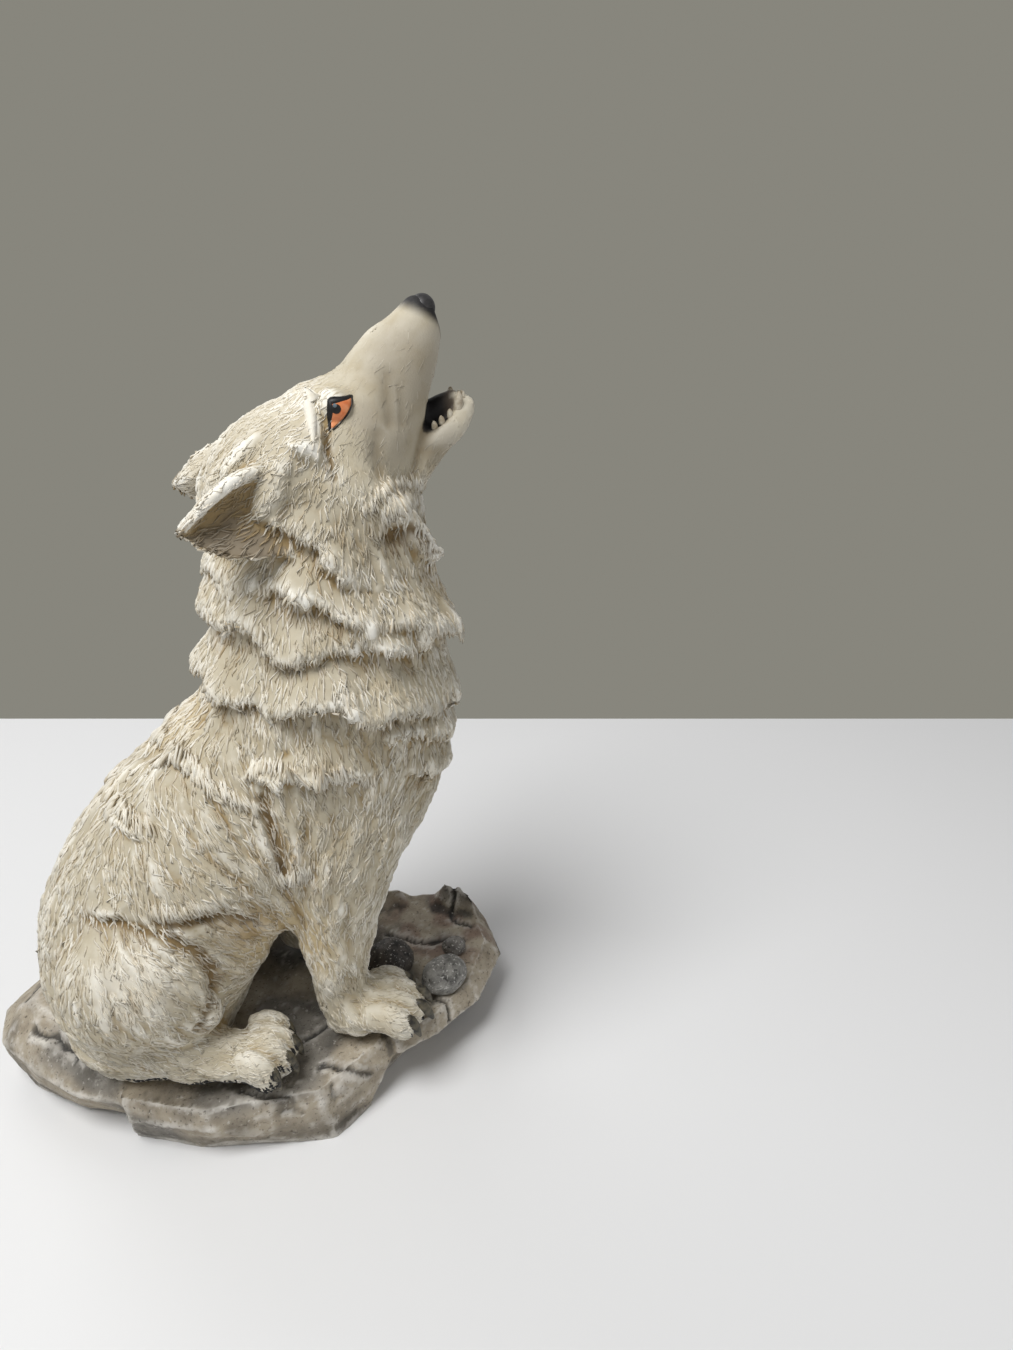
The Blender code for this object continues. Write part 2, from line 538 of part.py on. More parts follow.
def rock(bm):
    floor = -SEAT_HEIGHT - UNDERCUT
    front, back, near, far = ROCK_FRONT, -ROCK_BACK, -ROCK_NEAR, ROCK_FAR
    # The boulder under the rump.
    stone(bm, (floor, [(back + 12, 8), (-82, -8), (-60, -20), (-52, 48), (-84, 56),
                       (back + 12, 42), (back + 4, 28)]),
          (-8, [(back, 15), (back + 16, -8), (-78, -26), (-60, -36),
                (back, 36), (back + 14, 54), (-76, 64), (-50, 62)]),
          (3, [(back + 18, 0), (-74, -16), (-60, -20), (-84, 52), (-60, 56)]),
          (10, [(back + 16, 18), (back + 24, 34)]))
    # The front slab, under the haunch and the hind foot.
    stone(bm, (floor, [(-60, -32), (-30, -47), (20, near + 1), (34, -50), (30, 52), (-10, 58), (-50, 50)]),
          (-13, [(-60, -40), (-28, near + 4), (16, near), (48, -44), (-60, 56), (-12, 66), (36, 58)]),
          (-3, [(-62, -36), (-30, near + 8), (14, near + 3), (44, -40), (38, 52), (-14, 62), (-50, 58)]))
    # The right slab, which juts out over its own foot.
    stone(bm, (-21, [(40, -30), (64, -30), (84, -16), (front - 16, 4), (front - 14, 26), (84, 40), (30, 50)]),
          (-9, [(50, -46), (69, -41), (92, -27), (front - 1, -2),
                (front, 26), (front - 5, 42), (92, 50), (30, 60)]),
          (0, [(48, -40), (68, -37), (88, -22), (front - 8, 2), (front - 7, 26), (92, 44), (30, 52)]))
    stone(bm, (floor, [(20, -40), (40, -36), (66, -16), (76, 12), (64, 38), (20, 48)]),
          (-14, [(20, -48), (46, -40), (80, -18), (92, 10), (76, 44), (20, 54)]))
    # The raised rim behind the pebbles.
    stone(bm, (-6, [(84, 44), (front - 12, 46), (front - 2, 30), (front - 6, 14), (80, 34)]),
          (9, [(92, 38), (front - 11, 34), (front - 9, 24)]))
    stone(bm, (-6, [(50, 56), (80, 52), (78, 36), (54, 34)]), (7, [(60, 48), (72, 44)]))
    # The step under the tail.
    stone(bm, (-10, [(-60, far - 3), (-20, far), (16, far - 7), (20, 40), (-60, 40)]),
          (0, [(-56, far - 11), (-20, far - 8), (12, far - 13), (-20, 40)]))
    ball(bm, (77, -20, 5), (PEBBLE_RADIUS, 0.8 * PEBBLE_RADIUS, 0.75 * PEBBLE_RADIUS), yaw=20)
    ball(bm, (87, -1, 2.5), (0.5 * PEBBLE_RADIUS, 0.45 * PEBBLE_RADIUS, 0.4 * PEBBLE_RADIUS))
    ball(bm, (56, -3, 5), (PEBBLE_RADIUS, 0.9 * PEBBLE_RADIUS, 0.9 * PEBBLE_RADIUS))


def fused(name, build, grain, rubs):
    """Shapes that build() adds to one mesh, fused by a voxel remesh and rubbed smooth."""
    mesh = bpy.data.meshes.new(name)
    bm = bmesh.new()
    build(bm)
    bmesh.ops.recalc_face_normals(bm, faces=bm.faces)
    bm.to_mesh(mesh)
    bm.free()
    obj = bpy.data.objects.new(name, mesh)
    bpy.context.collection.objects.link(obj)
    remesh = obj.modifiers.new("Fuse", "REMESH")
    remesh.mode = "VOXEL"
    remesh.voxel_size = grain * MM
    if rubs:
        smooth = obj.modifiers.new("Rub", "SMOOTH")
        smooth.iterations = rubs
        smooth.factor = 0.5
    return obj


def baked(obj):
    """The object's mesh as its modifiers leave it."""
    graph = bpy.context.evaluated_depsgraph_get()
    return bpy.data.meshes.new_from_object(obj.evaluated_get(graph))


def thinned(cast):
    """The cast's mesh with far fewer triangles, which stay closest together on the face."""
    cast.data = baked(cast)
    cast.modifiers.clear()
    face_group = cast.vertex_groups.new(name="face")
    corner = Vector((FACE_BACK, 0, FACE_LOW)) * MM
    on_face = [v.index for v in cast.data.vertices if v.co.x > corner.x and v.co.z > corner.z]
    face_group.add(on_face, 0.5, "REPLACE")
    thin = cast.modifiers.new("Thin", "DECIMATE")
    thin.vertex_group = face_group.name
    thin.vertex_group_factor = FACE_CARE
    thin.invert_vertex_group = True
    thin.ratio = CAST_TRIANGLE_COUNT / sum(len(p.vertices) - 2 for p in cast.data.polygons)
    mesh = baked(cast)
    cast.modifiers.clear()
    cast.vertex_groups.clear()
    return mesh


def stood_on_table(mesh):
    """The mesh cut flat at the underside and lifted, so that it stands on the table at z = 0."""
    bm = bmesh.new()
    bm.from_mesh(mesh)
    whole = bm.verts[:] + bm.edges[:] + bm.faces[:]
    table = Vector((0, 0, -SEAT_HEIGHT * MM))
    cut = bmesh.ops.bisect_plane(bm, geom=whole, plane_co=table, plane_no=(0, 0, -1), clear_outer=True)
    rim = [g for g in cut["geom_cut"] if isinstance(g, bmesh.types.BMEdge)]
    bmesh.ops.triangle_fill(bm, use_beauty=True, edges=rim)
    bmesh.ops.translate(bm, verts=bm.verts, vec=-table)
    bmesh.ops.recalc_face_normals(bm, faces=bm.faces)
    bm.to_mesh(mesh)
    bm.free()
    return mesh


def painted_resin():
    paint = bpy.data.materials.new("painted_resin")
    paint.use_nodes = True
    shader = paint.node_tree.nodes["Principled BSDF"]
    shader.inputs["Base Color"].default_value = (0.62, 0.55, 0.43, 1)
    shader.inputs["Roughness"].default_value = 0.62
    shader.inputs["Metallic"].default_value = 0.0
    return paint


def main():
    for old in list(bpy.data.objects):
        bpy.data.objects.remove(old)
    masses = fused("masses", wolf_masses, MASS_GRAIN, MASS_RUB_COUNT)
    cavity = fused("cavity", hollows, HOLLOW_GRAIN, HOLLOW_RUB_COUNT)
    cut = masses.modifiers.new("Hollows", "BOOLEAN")
    cut.operation = "DIFFERENCE"
    cut.solver = "EXACT"
    cut.object = cavity
    body = baked(masses)
    coat = bmesh.new()
    coat.from_mesh(body)
    coat_tree = BVHTree.FromBMesh(coat)

    def forms(bm):
        bm.from_mesh(body)
        face(bm)
        for side in (-1, 1):
            ear(bm, side)
            front = FRONT_PAW_X - (FAR_LEG_BACK if side > 0 else 0)
            paw(bm, front, LEG_SPREAD + FRONT_PAW_OUT, FRONT_TOE_REACH, 10, side)
            paw(bm, HIND_PAW_X, HIP_SPREAD + HIND_PAW_OUT, HIND_TOE_REACH, 20, side)
        fur_ledges(bm, coat_tree)
        main_locks(bm, coat_tree)
        rock(bm)

    cast = fused("wolf_casting", forms, FORM_GRAIN, FORM_RUB_COUNT)
    for helper in (masses, cavity):
        bpy.data.objects.remove(helper)
    cast.data = stood_on_table(thinned(cast))
    cast.data.materials.append(painted_resin())
    cast.data.shade_smooth()
    cast.data.set_sharp_from_angle(angle=math.radians(50))


main()
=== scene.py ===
# %% [markdown]
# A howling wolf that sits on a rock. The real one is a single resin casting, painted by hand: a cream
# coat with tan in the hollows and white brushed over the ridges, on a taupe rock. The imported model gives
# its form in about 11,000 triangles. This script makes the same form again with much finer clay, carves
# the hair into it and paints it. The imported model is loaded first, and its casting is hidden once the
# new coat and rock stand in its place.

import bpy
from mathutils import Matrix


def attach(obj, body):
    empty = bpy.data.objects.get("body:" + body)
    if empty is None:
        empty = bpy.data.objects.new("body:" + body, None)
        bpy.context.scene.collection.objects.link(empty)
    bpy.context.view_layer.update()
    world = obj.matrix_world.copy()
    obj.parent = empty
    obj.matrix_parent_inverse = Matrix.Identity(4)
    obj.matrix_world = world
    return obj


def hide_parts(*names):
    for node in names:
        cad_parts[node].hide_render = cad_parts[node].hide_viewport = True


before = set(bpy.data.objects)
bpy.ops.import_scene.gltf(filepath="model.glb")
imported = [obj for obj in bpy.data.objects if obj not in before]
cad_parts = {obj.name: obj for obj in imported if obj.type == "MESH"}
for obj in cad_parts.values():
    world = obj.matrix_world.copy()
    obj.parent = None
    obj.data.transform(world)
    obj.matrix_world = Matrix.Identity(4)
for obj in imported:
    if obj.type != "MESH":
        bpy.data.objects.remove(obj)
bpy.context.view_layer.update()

# %% [markdown]
# bmesh builds meshes point by point, numpy moves all their points at once, and mathutils brings Blender's
# own vectors, noise and search tree. All forms are drawn in millimetres from the flat seat between the
# paws, as a sculptor would note them, and only the finished pieces are scaled to metres.

# %% What the script needs from Blender and Python
import math
import random

import bmesh
import bpy
import numpy as np
from mathutils import Matrix, Vector, noise
from mathutils.bvhtree import BVHTree

MM = 0.001
SEAT_HEIGHT = 30.0
print("lengths below are in millimetres over the rock's seat,", SEAT_HEIGHT, "mm over the floor")

# %% [markdown]
# The photograph was taken from a little above the wolf's head and close by. A short lens at
# the same place gives the same perspective: the head looks large and the rock falls away below it.
# The place was found by comparing outlines, and the tilt is about 26 degrees down.

# %% Camera
def in_scene(name, data):
    """A new object with this data, linked to the scene."""
    obj = bpy.data.objects.new(name, data)
    bpy.context.scene.collection.objects.link(obj)
    return obj


IMAGE_HEIGHT_PX = 1350
FOCAL_LENGTH_PX = 960
SENSOR_MM = 36
CAMERA_PLACE = Vector((-0.003, -0.340, 0.345))
CAMERA_TURN = math.radians(18.9)
CAMERA_TILT = math.radians(26)

camera = in_scene("camera", bpy.data.cameras.new("camera"))
camera.data.sensor_width = SENSOR_MM
camera.data.lens = FOCAL_LENGTH_PX * SENSOR_MM / IMAGE_HEIGHT_PX
looks_along = Vector((
    math.sin(CAMERA_TURN) * math.cos(CAMERA_TILT),
    math.cos(CAMERA_TURN) * math.cos(CAMERA_TILT),
    -math.sin(CAMERA_TILT),
))
camera.location = CAMERA_PLACE
camera.rotation_euler = looks_along.to_track_quat("-Z", "Y").to_euler()
bpy.context.scene.camera = camera
print("lens", round(camera.data.lens, 1), "mm")

# %% [markdown]
# Soft light comes from large lamps: the bigger a lamp looks from the object, the softer its shadows.
# The main one hangs over the wolf's back and to the left, where its shadows say. Two weaker ones
# open the shadows on the other sides.

# %% Lamps
WOLF_MIDDLE = Vector((0.02, 0, 0.15))


def lamp(name, place, size, power):
    """A round lamp that looks at the middle of the wolf."""
    light = bpy.data.lights.new(name, "AREA")
    light.shape = "DISK"
    light.size = size
    light.energy = power
    obj = in_scene(name, light)
    obj.location = place
    obj.rotation_euler = (WOLF_MIDDLE - Vector(place)).to_track_quat("-Z", "Y").to_euler()


lamp("ceiling_lamp", (-0.45, -0.30, 1.30), 0.7, 16)
lamp("side_fill", (0.9, -0.9, 0.6), 0.9, 1.5)
lamp("back_fill", (-0.4, 1.1, 0.9), 0.9, 4)

# %% [markdown]
# The world fills the rest evenly. Lamps and world together are as bright as daylight on white paper, so
# that a colour renders about as it is written. Where the camera looks past the wolf, it should see a
# plain backdrop and not that white light, so a Light Path node gives camera rays a colour of their own.

# %% World
WORLD_LIGHT = 0.23
BACKDROP = (0.245, 0.238, 0.205, 1)
world = bpy.data.worlds.new("studio")
bpy.context.scene.world = world
world.use_nodes = True
sky = world.node_tree
background = sky.nodes["Background"]
background.inputs["Color"].default_value = (1, 1, 1, 1)
background.inputs["Strength"].default_value = WORLD_LIGHT
seen = sky.nodes.new("ShaderNodeBackground")
seen.inputs["Color"].default_value = BACKDROP
ray = sky.nodes.new("ShaderNodeLightPath")
swap = sky.nodes.new("ShaderNodeMixShader")
sky.links.new(ray.outputs["Is Camera Ray"], swap.inputs["Fac"])
sky.links.new(background.outputs["Background"], swap.inputs[1])
sky.links.new(seen.outputs["Background"], swap.inputs[2])
sky.links.new(swap.outputs["Shader"], sky.nodes["World Output"].inputs["Surface"])
bpy.context.scene.view_settings.view_transform = "Standard"
print("world light", WORLD_LIGHT, "and backdrop", BACKDROP[:3])

# %% [markdown]
# The floor is one plain pale plane that keeps the object's shadow. It is square to the camera and ends a
# little behind the wolf, so that the pale coat stands before the darker backdrop.

# %% Floor
def new_paint(name):
    """A new finish: the material, its node tree and its shader."""
    paint = bpy.data.materials.new(name)
    paint.use_nodes = True
    return paint, paint.node_tree, paint.node_tree.nodes["Principled BSDF"]


FLOOR_HALF_WIDTH = 1.6
FLOOR_BACK = 0.31
FLOOR_COLOUR = (0.78, 0.78, 0.78, 1)
FLOOR_ROUGHNESS = 0.6
floor_mesh = bpy.data.meshes.new("floor")
floor_bm = bmesh.new()
bmesh.ops.create_grid(floor_bm, x_segments=1, y_segments=1, size=FLOOR_HALF_WIDTH)
slide = Matrix.Translation((0, FLOOR_BACK - FLOOR_HALF_WIDTH, 0))
bmesh.ops.transform(floor_bm, matrix=Matrix.Rotation(-CAMERA_TURN, 4, "Z") @ slide, verts=floor_bm.verts)
floor_bm.to_mesh(floor_mesh)
floor_bm.free()
floor_paint, _, floor_shader = new_paint("floor_paint")
floor_shader.inputs["Base Color"].default_value = FLOOR_COLOUR
floor_shader.inputs["Roughness"].default_value = FLOOR_ROUGHNESS
floor_mesh.materials.append(floor_paint)
floor = in_scene("floor", floor_mesh)
print("floor", floor.dimensions[:2])

# %% [markdown]
# A sculptor starts with big masses. Most of them are lofts: rings of points strung along a smooth
# curve, wide and deep as the body is there. A Catmull-Rom curve goes through every station, so each
# number in a table is a measure of the real animal: x, y, z, half width and half depth.

# %% Curves
def spline(points, count):
    """A smooth Catmull-Rom curve through rows of numbers, read at count even steps."""
    rows = np.array(points, float)
    rows = np.vstack([2 * rows[0] - rows[1], rows, 2 * rows[-1] - rows[-2]])
    spans = len(rows) - 3
    out = []
    for t in np.linspace(0, spans, count):
        i = min(int(t), spans - 1)
        u = t - i
        a, b, c, d = rows[i : i + 4]
        out.append(
            0.5 * (2 * b + (c - a) * u + (2 * a - 5 * b + 4 * c - d) * u**2
                   + (3 * b - a - 3 * c + d) * u**3)
        )
    return np.array(out)


def unit(vectors):
    """Vectors, one or rows of them, made one long."""
    return vectors / np.maximum(np.linalg.norm(vectors, axis=-1, keepdims=True), 1e-9)


def eased(value, low, high):
    """0 below low, 1 above high and a smooth ramp between."""
    t = np.clip((value - low) / (high - low), 0, 1)
    return t * t * (3 - 2 * t)


print("a spline through 3 stations, read at 5 steps:", spline([(0,), (1,), (4,)], 5).ravel())


# %% Lofts
def rings_of(stations, across, steps):
    """Centre, direction, side vector and depth vector of each ring of a loft."""
    rows = spline(stations, steps)
    centres = rows[:, :3]
    rings = []
    for centre, ahead, width, depth in zip(centres, np.gradient(centres, axis=0), rows[:, 3], rows[:, 4]):
        ahead = unit(ahead)
        side = unit(np.array(across, float) - np.dot(across, ahead) * ahead)
        rings.append((centre, ahead, side * width, np.cross(ahead, side) * depth))
    return rings


def walls(bm, loops, closed=False):
    """Faces from each loop of points to the next, and over both ends unless the loops close in a ring."""
    around = len(loops[0])
    for lower, upper in zip(loops, loops[1:] + loops[:1] if closed else loops[1:]):
        for k in range(around):
            n = (k + 1) % around
            bm.faces.new((lower[k], lower[n], upper[n], upper[k]))
    if not closed:
        bm.faces.new(loops[0][::-1])
        bm.faces.new(loops[-1])


def loft(bm, stations, across=(0, 1, 0), sides=20, steps=24, cap=0.5):
    """A closed tube through the stations, with rounded ends."""
    rings = rings_of(stations, across, steps)
    sections = [(centre, side, up) for centre, _, side, up in rings]
    for end, sign in ((0, -1), (-1, 1)):
        centre, ahead, side, up = rings[end]
        reach = cap * min(np.linalg.norm(side), np.linalg.norm(up))
        for turn in (30, 60, 85):
            angle = math.radians(turn)
            section = (centre + sign * ahead * reach * math.sin(angle),
                       side * math.cos(angle), up * math.cos(angle))
            sections.insert(0 if sign < 0 else len(sections), section)
    loops = []
    for centre, side, up in sections:
        turns = [2 * math.pi * k / sides for k in range(sides)]
        points = [centre + side * math.cos(a) + up * math.sin(a) for a in turns]
        loops.append([bm.verts.new(p) for p in points])
    walls(bm, loops)


def shifted(stations, dx, dy, side):
    """Stations moved back by dx and out by dy, on the left (side 1) or the right (side -1)."""
    return [(x + dx, side * (y + dy), z, width, depth) for x, y, z, width, depth in stations]


# %% [markdown]
# Some masses are rounder than a tube: the skull, the cheeks, the haunches. They are stretched and tilted
# balls. Broken stone has flat faces and sharp rims, which the convex hull of a few corners gives.

# %% Balls and stones
def ball(bm, centre, radii, pitch=0.0, yaw=0.0, fine=1):
    """An ellipsoid of radii (along, across, up), pitched up and turned, in degrees."""
    turn = Matrix.Rotation(math.radians(yaw), 4, "Z") @ Matrix.Rotation(math.radians(-pitch), 4, "Y")
    place = Matrix.Translation(centre) @ turn @ Matrix.Diagonal((*radii, 1))
    bmesh.ops.create_uvsphere(bm, u_segments=20 * fine, v_segments=12 * fine, radius=1, matrix=place)


def stone(bm, *outlines):
    """A stone: the convex hull of outlines, each one a height and its corners."""
    corners = [bm.verts.new((x, y, z)) for z, outline in outlines for x, y in outline]
    made = bmesh.ops.convex_hull(bm, input=corners)
    spare = [g for g in made["geom_interior"] if isinstance(g, bmesh.types.BMVert)]
    bmesh.ops.delete(bm, geom=spare, context="VERTS")


# %% [markdown]
# Clay shapes that only touch or cross have seams. A voxel Remesh rebuilds them as one skin, as if the
# joints were wetted and pressed, and a Smooth modifier rubs them down. Both are modifiers, so the
# result is read back from the evaluated object and the helper object is thrown away.

# %% Fusing clay
def mesh_of(name, build):
    """A mesh of the shapes that build() adds, with every face turned out."""
    mesh = bpy.data.meshes.new(name)
    bm = bmesh.new()
    build(bm)
    bmesh.ops.recalc_face_normals(bm, faces=bm.faces)
    bm.to_mesh(mesh)
    bm.free()
    return mesh


def fused(mesh, grain, rubs, cutter=None):
    """The mesh's shapes as one skin of about this grain, rubbed smooth, less the cutter's shape."""
    obj = in_scene(mesh.name, mesh)
    remesh = obj.modifiers.new("fuse", "REMESH")
    remesh.mode = "VOXEL"
    remesh.voxel_size = grain
    if rubs:
        rub = obj.modifiers.new("rub", "SMOOTH")
        rub.iterations = rubs
        rub.factor = 0.5
    helpers = [obj]
    if cutter:
        tool = in_scene("cutter", cutter)
        helpers.append(tool)
        cut = obj.modifiers.new("cut", "BOOLEAN")
        cut.operation = "DIFFERENCE"
        cut.solver = "EXACT"
        cut.object = tool
    graph = bpy.context.evaluated_depsgraph_get()
    result = bpy.data.meshes.new_from_object(obj.evaluated_get(graph))
    for helper in helpers:
        bpy.data.objects.remove(helper)
    return result


def moved_to(mesh, points):
    """The mesh with its points moved to these places."""
    mesh.vertices.foreach_set("co", points.ravel())
    mesh.update()
    return mesh


# %% [markdown]
# The masses: a trunk that leans up from the haunches into the neck, skull, muzzle and jaw, haunches,
# four legs and a tail that curls round the far side. The mouth and the fold behind each eye are lofts
# too, cut out of the clay instead of added to it.

# %% Trunk and head
NECK_TOP = 222.0
EYE_RADIUS = 6.5
NOSE_WIDTH = 5.5
# Stations of the lofted masses: x, y, z, half width, half depth.
TRUNK = [
    (-45, 0, 6, 38, 34), (-42, 0, 37, 42, 42), (-33, 0, 59, 42, 45), (-14.5, 0, 82, 40, 47),
    (18, 0, 102, 40, 54), (36, 0, 127, 42, 50), (42.5, 0, 164, 38, 43.5), (43.5, 0, 192, 34, 39.5),
    (48, 0, NECK_TOP, 30, 31),
]
# The head's heights are measured from the top of the neck.
MUZZLE = [
    (48, 0, 12, 24, 24), (58, 0, 21, 22, 23), (65.4, 0, 32.2, 17, 20.5), (76, 0, 47.5, 12.5, 13.2),
    (79, 0, 53.8, 11, 11), (80.7, 0, 60, 8.5, 7.8), (81.2, 0, 64.5, 6, 4.6),
]
JAW = [
    (66, 0, 2, 18, 12), (76, 0, 10, 14, 8.5), (84, 0, 16.5, 11, 6.6), (92, 0, 23.5, 9, 6),
    (96.5, 0, 28, 7.2, 5), (98.5, 0, 30.5, 5.6, 3.6),
]
CHEEK_CURL = [
    (52, 22, 10, 4, 5), (62, 23.5, 0, 5, 6), (72, 20, -11, 5, 5),
    (79, 16, -20, 3.5, 3.5), (84, 12, -21, 1.6, 1.6),
]
# Rounded masses: centre, radii (along, across, up) and how far they are pitched up.
SKULL = ((30, 0, 9), (31, 28, 22), 38)
CROWN = ((42, 0, 29), (9, 13, 10), 40)
NAPE = ((25, 0, -10), (19, 25, 24), 10)
CHEEK = ((48, 18, -3), (21, 13, 25), 30)
EYE = ((49, 12, 32.5), (EYE_RADIUS, EYE_RADIUS, EYE_RADIUS), 0)
NOSE = ((82.4, 0, 61.4), (4.5, NOSE_WIDTH, 5.2), -30)
print("the trunk rises from", TRUNK[0][2], "to", NECK_TOP, "mm")

# %% Mouth and eye folds
# The mouth is cut right through between the lips. The lower lips and the tongue stand up in it.
LIP_GAP = [
    (83.3, 0, 25, 20, 3.8), (85.9, 0, 29, 20, 5.6), (88.5, 0, 34.5, 20, 6.3), (91.4, 0, 40, 20, 6.9),
    (95, 0, 47, 20, 8.8),
]
LOWER_LIP = [
    (80.5, 9.8, 18, 2, 2.4), (86.5, 9.3, 19.4, 2.1, 4.2), (91.7, 7.8, 22.6, 2.1, 4.2),
    (96.2, 5, 27.6, 2, 3.6), (98.5, 1.8, 31, 1.8, 2.6),
]
TONGUE = [(80, 0, 22, 4.6, 5), (85, 0, 26.5, 4.8, 5), (89.5, 0, 30, 4.2, 3.6), (94, 0, 32.6, 3, 2)]
# The fold between the brow and the eye.
EYE_FOLD = [
    (46, 16, 44, 1.2, 1.2), (43.5, 19, 37, 2.0, 2.2), (42.5, 21.5, 27, 2.2, 2.4), (44.5, 23.5, 17, 1.2, 1.2),
]
print("the mouth opens to", 2 * LIP_GAP[-1][4], "mm")

# %% Legs, paws and tail
HIP_SPREAD = 32.0
LEG_SPREAD = 28.0
FAR_LEG_BACK = 12.0
# From here on, heights are measured from the seat again.
FRONT_LEG = [
    (44, -8, 128, 13, 20), (39, 0, 102, 16, 24), (35, 1, 78, 15, 19.5),
    (31, 0, 54, 12.5, 15.5), (30, 0, 28, 10, 10.5), (32, 0, 6, 10, 10),
]
PASTERN = [(30, 0, 8, 10.5, 9), (41, 0, 11, 12.5, 10), (49, 1, 11, 13, 9)]
HIND_FOOT = [(-56, -8, 16, 11, 13), (-36, 2, 14, 11, 12), (-16, 9, 9.5, 10.5, 9), (-2, 13, 9, 11, 9)]
TAIL = [
    (-62, 2, 22, 12, 12), (-72, 24, 11, 12, 11), (-62, 43, 8, 12, 10), (-34, 50, 7, 11, 10),
    (-8, 51, 5, 9, 8), (10, 49, 3, 4, 4),
]
HAUNCH = ((-45, HIP_SPREAD, 49), (29, 20, 28), 0)
STIFLE = ((-33, HIP_SPREAD + 2, 36), (16, 14, 20), -30)
# How far the paws stand out from the middle of their legs.
FRONT_PAW_OUT = 5.0
HIND_PAW_OUT = 10.0
# How far the pasterns do.
PASTERN_OUT = 3.0
# Lengths of the four toes as shares of the reach, and the turn between two of them in degrees.
TOE_SHARES = ((-1.5, 0.82), (-0.5, 1.0), (0.5, 1.0), (1.5, 0.82))
TOE_FAN_DEG = 9.0
# Stations along a toe: share of its reach, share of TOE_HEIGHT, share of TOE_WIDTH, half depth.
TOE_STATIONS = (
    (-0.35, 0.95, 0.9, 6.5), (0.3, 0.98, 1.0, 6.8), (0.75, 0.72, 1.0, 6.2), (1.05, 0.45, 0.85, 4.6),
)
print("the hind legs stand", 2 * HIP_SPREAD, "mm apart, the front legs", 2 * LEG_SPREAD, "mm")

# %% [markdown]
# All masses go into one bmesh and are fused with a coarse grain, since they carry finer layers later.
# Everything that belongs to the head is lifted to the top of the neck first, so that a longer neck would
# carry the whole head up.

# %% The masses and the mouth
MASS_GRAIN = 2.4
MASS_RUBS = 7
HOLLOW_GRAIN = 1.0
HOLLOW_RUBS = 5


def raised(point):
    """A point of the head, from its height over the neck to its height over the seat."""
    x, y, z = point
    return (x, y, z + NECK_TOP)


def on_neck(rows):
    """Rows of the head, x, y, z and more, lifted to the top of the neck in the same way."""
    return [(*raised(row[:3]), *row[3:]) for row in rows]


def wolf_masses(bm):
    """The big masses of head, body, legs and tail."""
    loft(bm, TRUNK, steps=40, sides=32)
    for centre, radii, pitch in (SKULL, CROWN, NAPE):
        ball(bm, raised(centre), radii, pitch)
    loft(bm, on_neck(MUZZLE), steps=30)
    loft(bm, on_neck(JAW))
    for side in (-1, 1):
        (x, y, z), radii, pitch = CHEEK
        ball(bm, raised((x, side * y, z)), radii, pitch)
        for (x, y, z), radii, pitch in (HAUNCH, STIFLE):
            ball(bm, (x, side * y, z), radii, pitch)
        loft(bm, shifted(HIND_FOOT, 0, HIP_SPREAD, side))
        back = -FAR_LEG_BACK if side > 0 else 0
        loft(bm, shifted(FRONT_LEG, back, LEG_SPREAD, side))
        loft(bm, shifted(PASTERN, back, LEG_SPREAD + PASTERN_OUT, side))
    loft(bm, TAIL)


def hollows(bm):
    """What is carved out of the masses: the mouth and the folds behind the eyes."""
    loft(bm, on_neck(LIP_GAP))
    for side in (-1, 1):
        loft(bm, shifted(on_neck(EYE_FOLD), 0, 0, side), sides=12)


cavity = fused(mesh_of("hollows", hollows), HOLLOW_GRAIN, HOLLOW_RUBS)
body = fused(mesh_of("masses", wolf_masses), MASS_GRAIN, MASS_RUBS, cavity)
print("masses:", len(body.vertices), "points")

# %% [markdown]
# Fur has a direction everywhere: back over the skull, down the neck and chest, slanting over the flanks
# and along the feet. A few guide hairs, each a place and a direction on the right side of the animal,
# say where it goes. Between them the direction is a blend, weighted by distance, and laid flat on the
# skin. The left side mirrors the right.

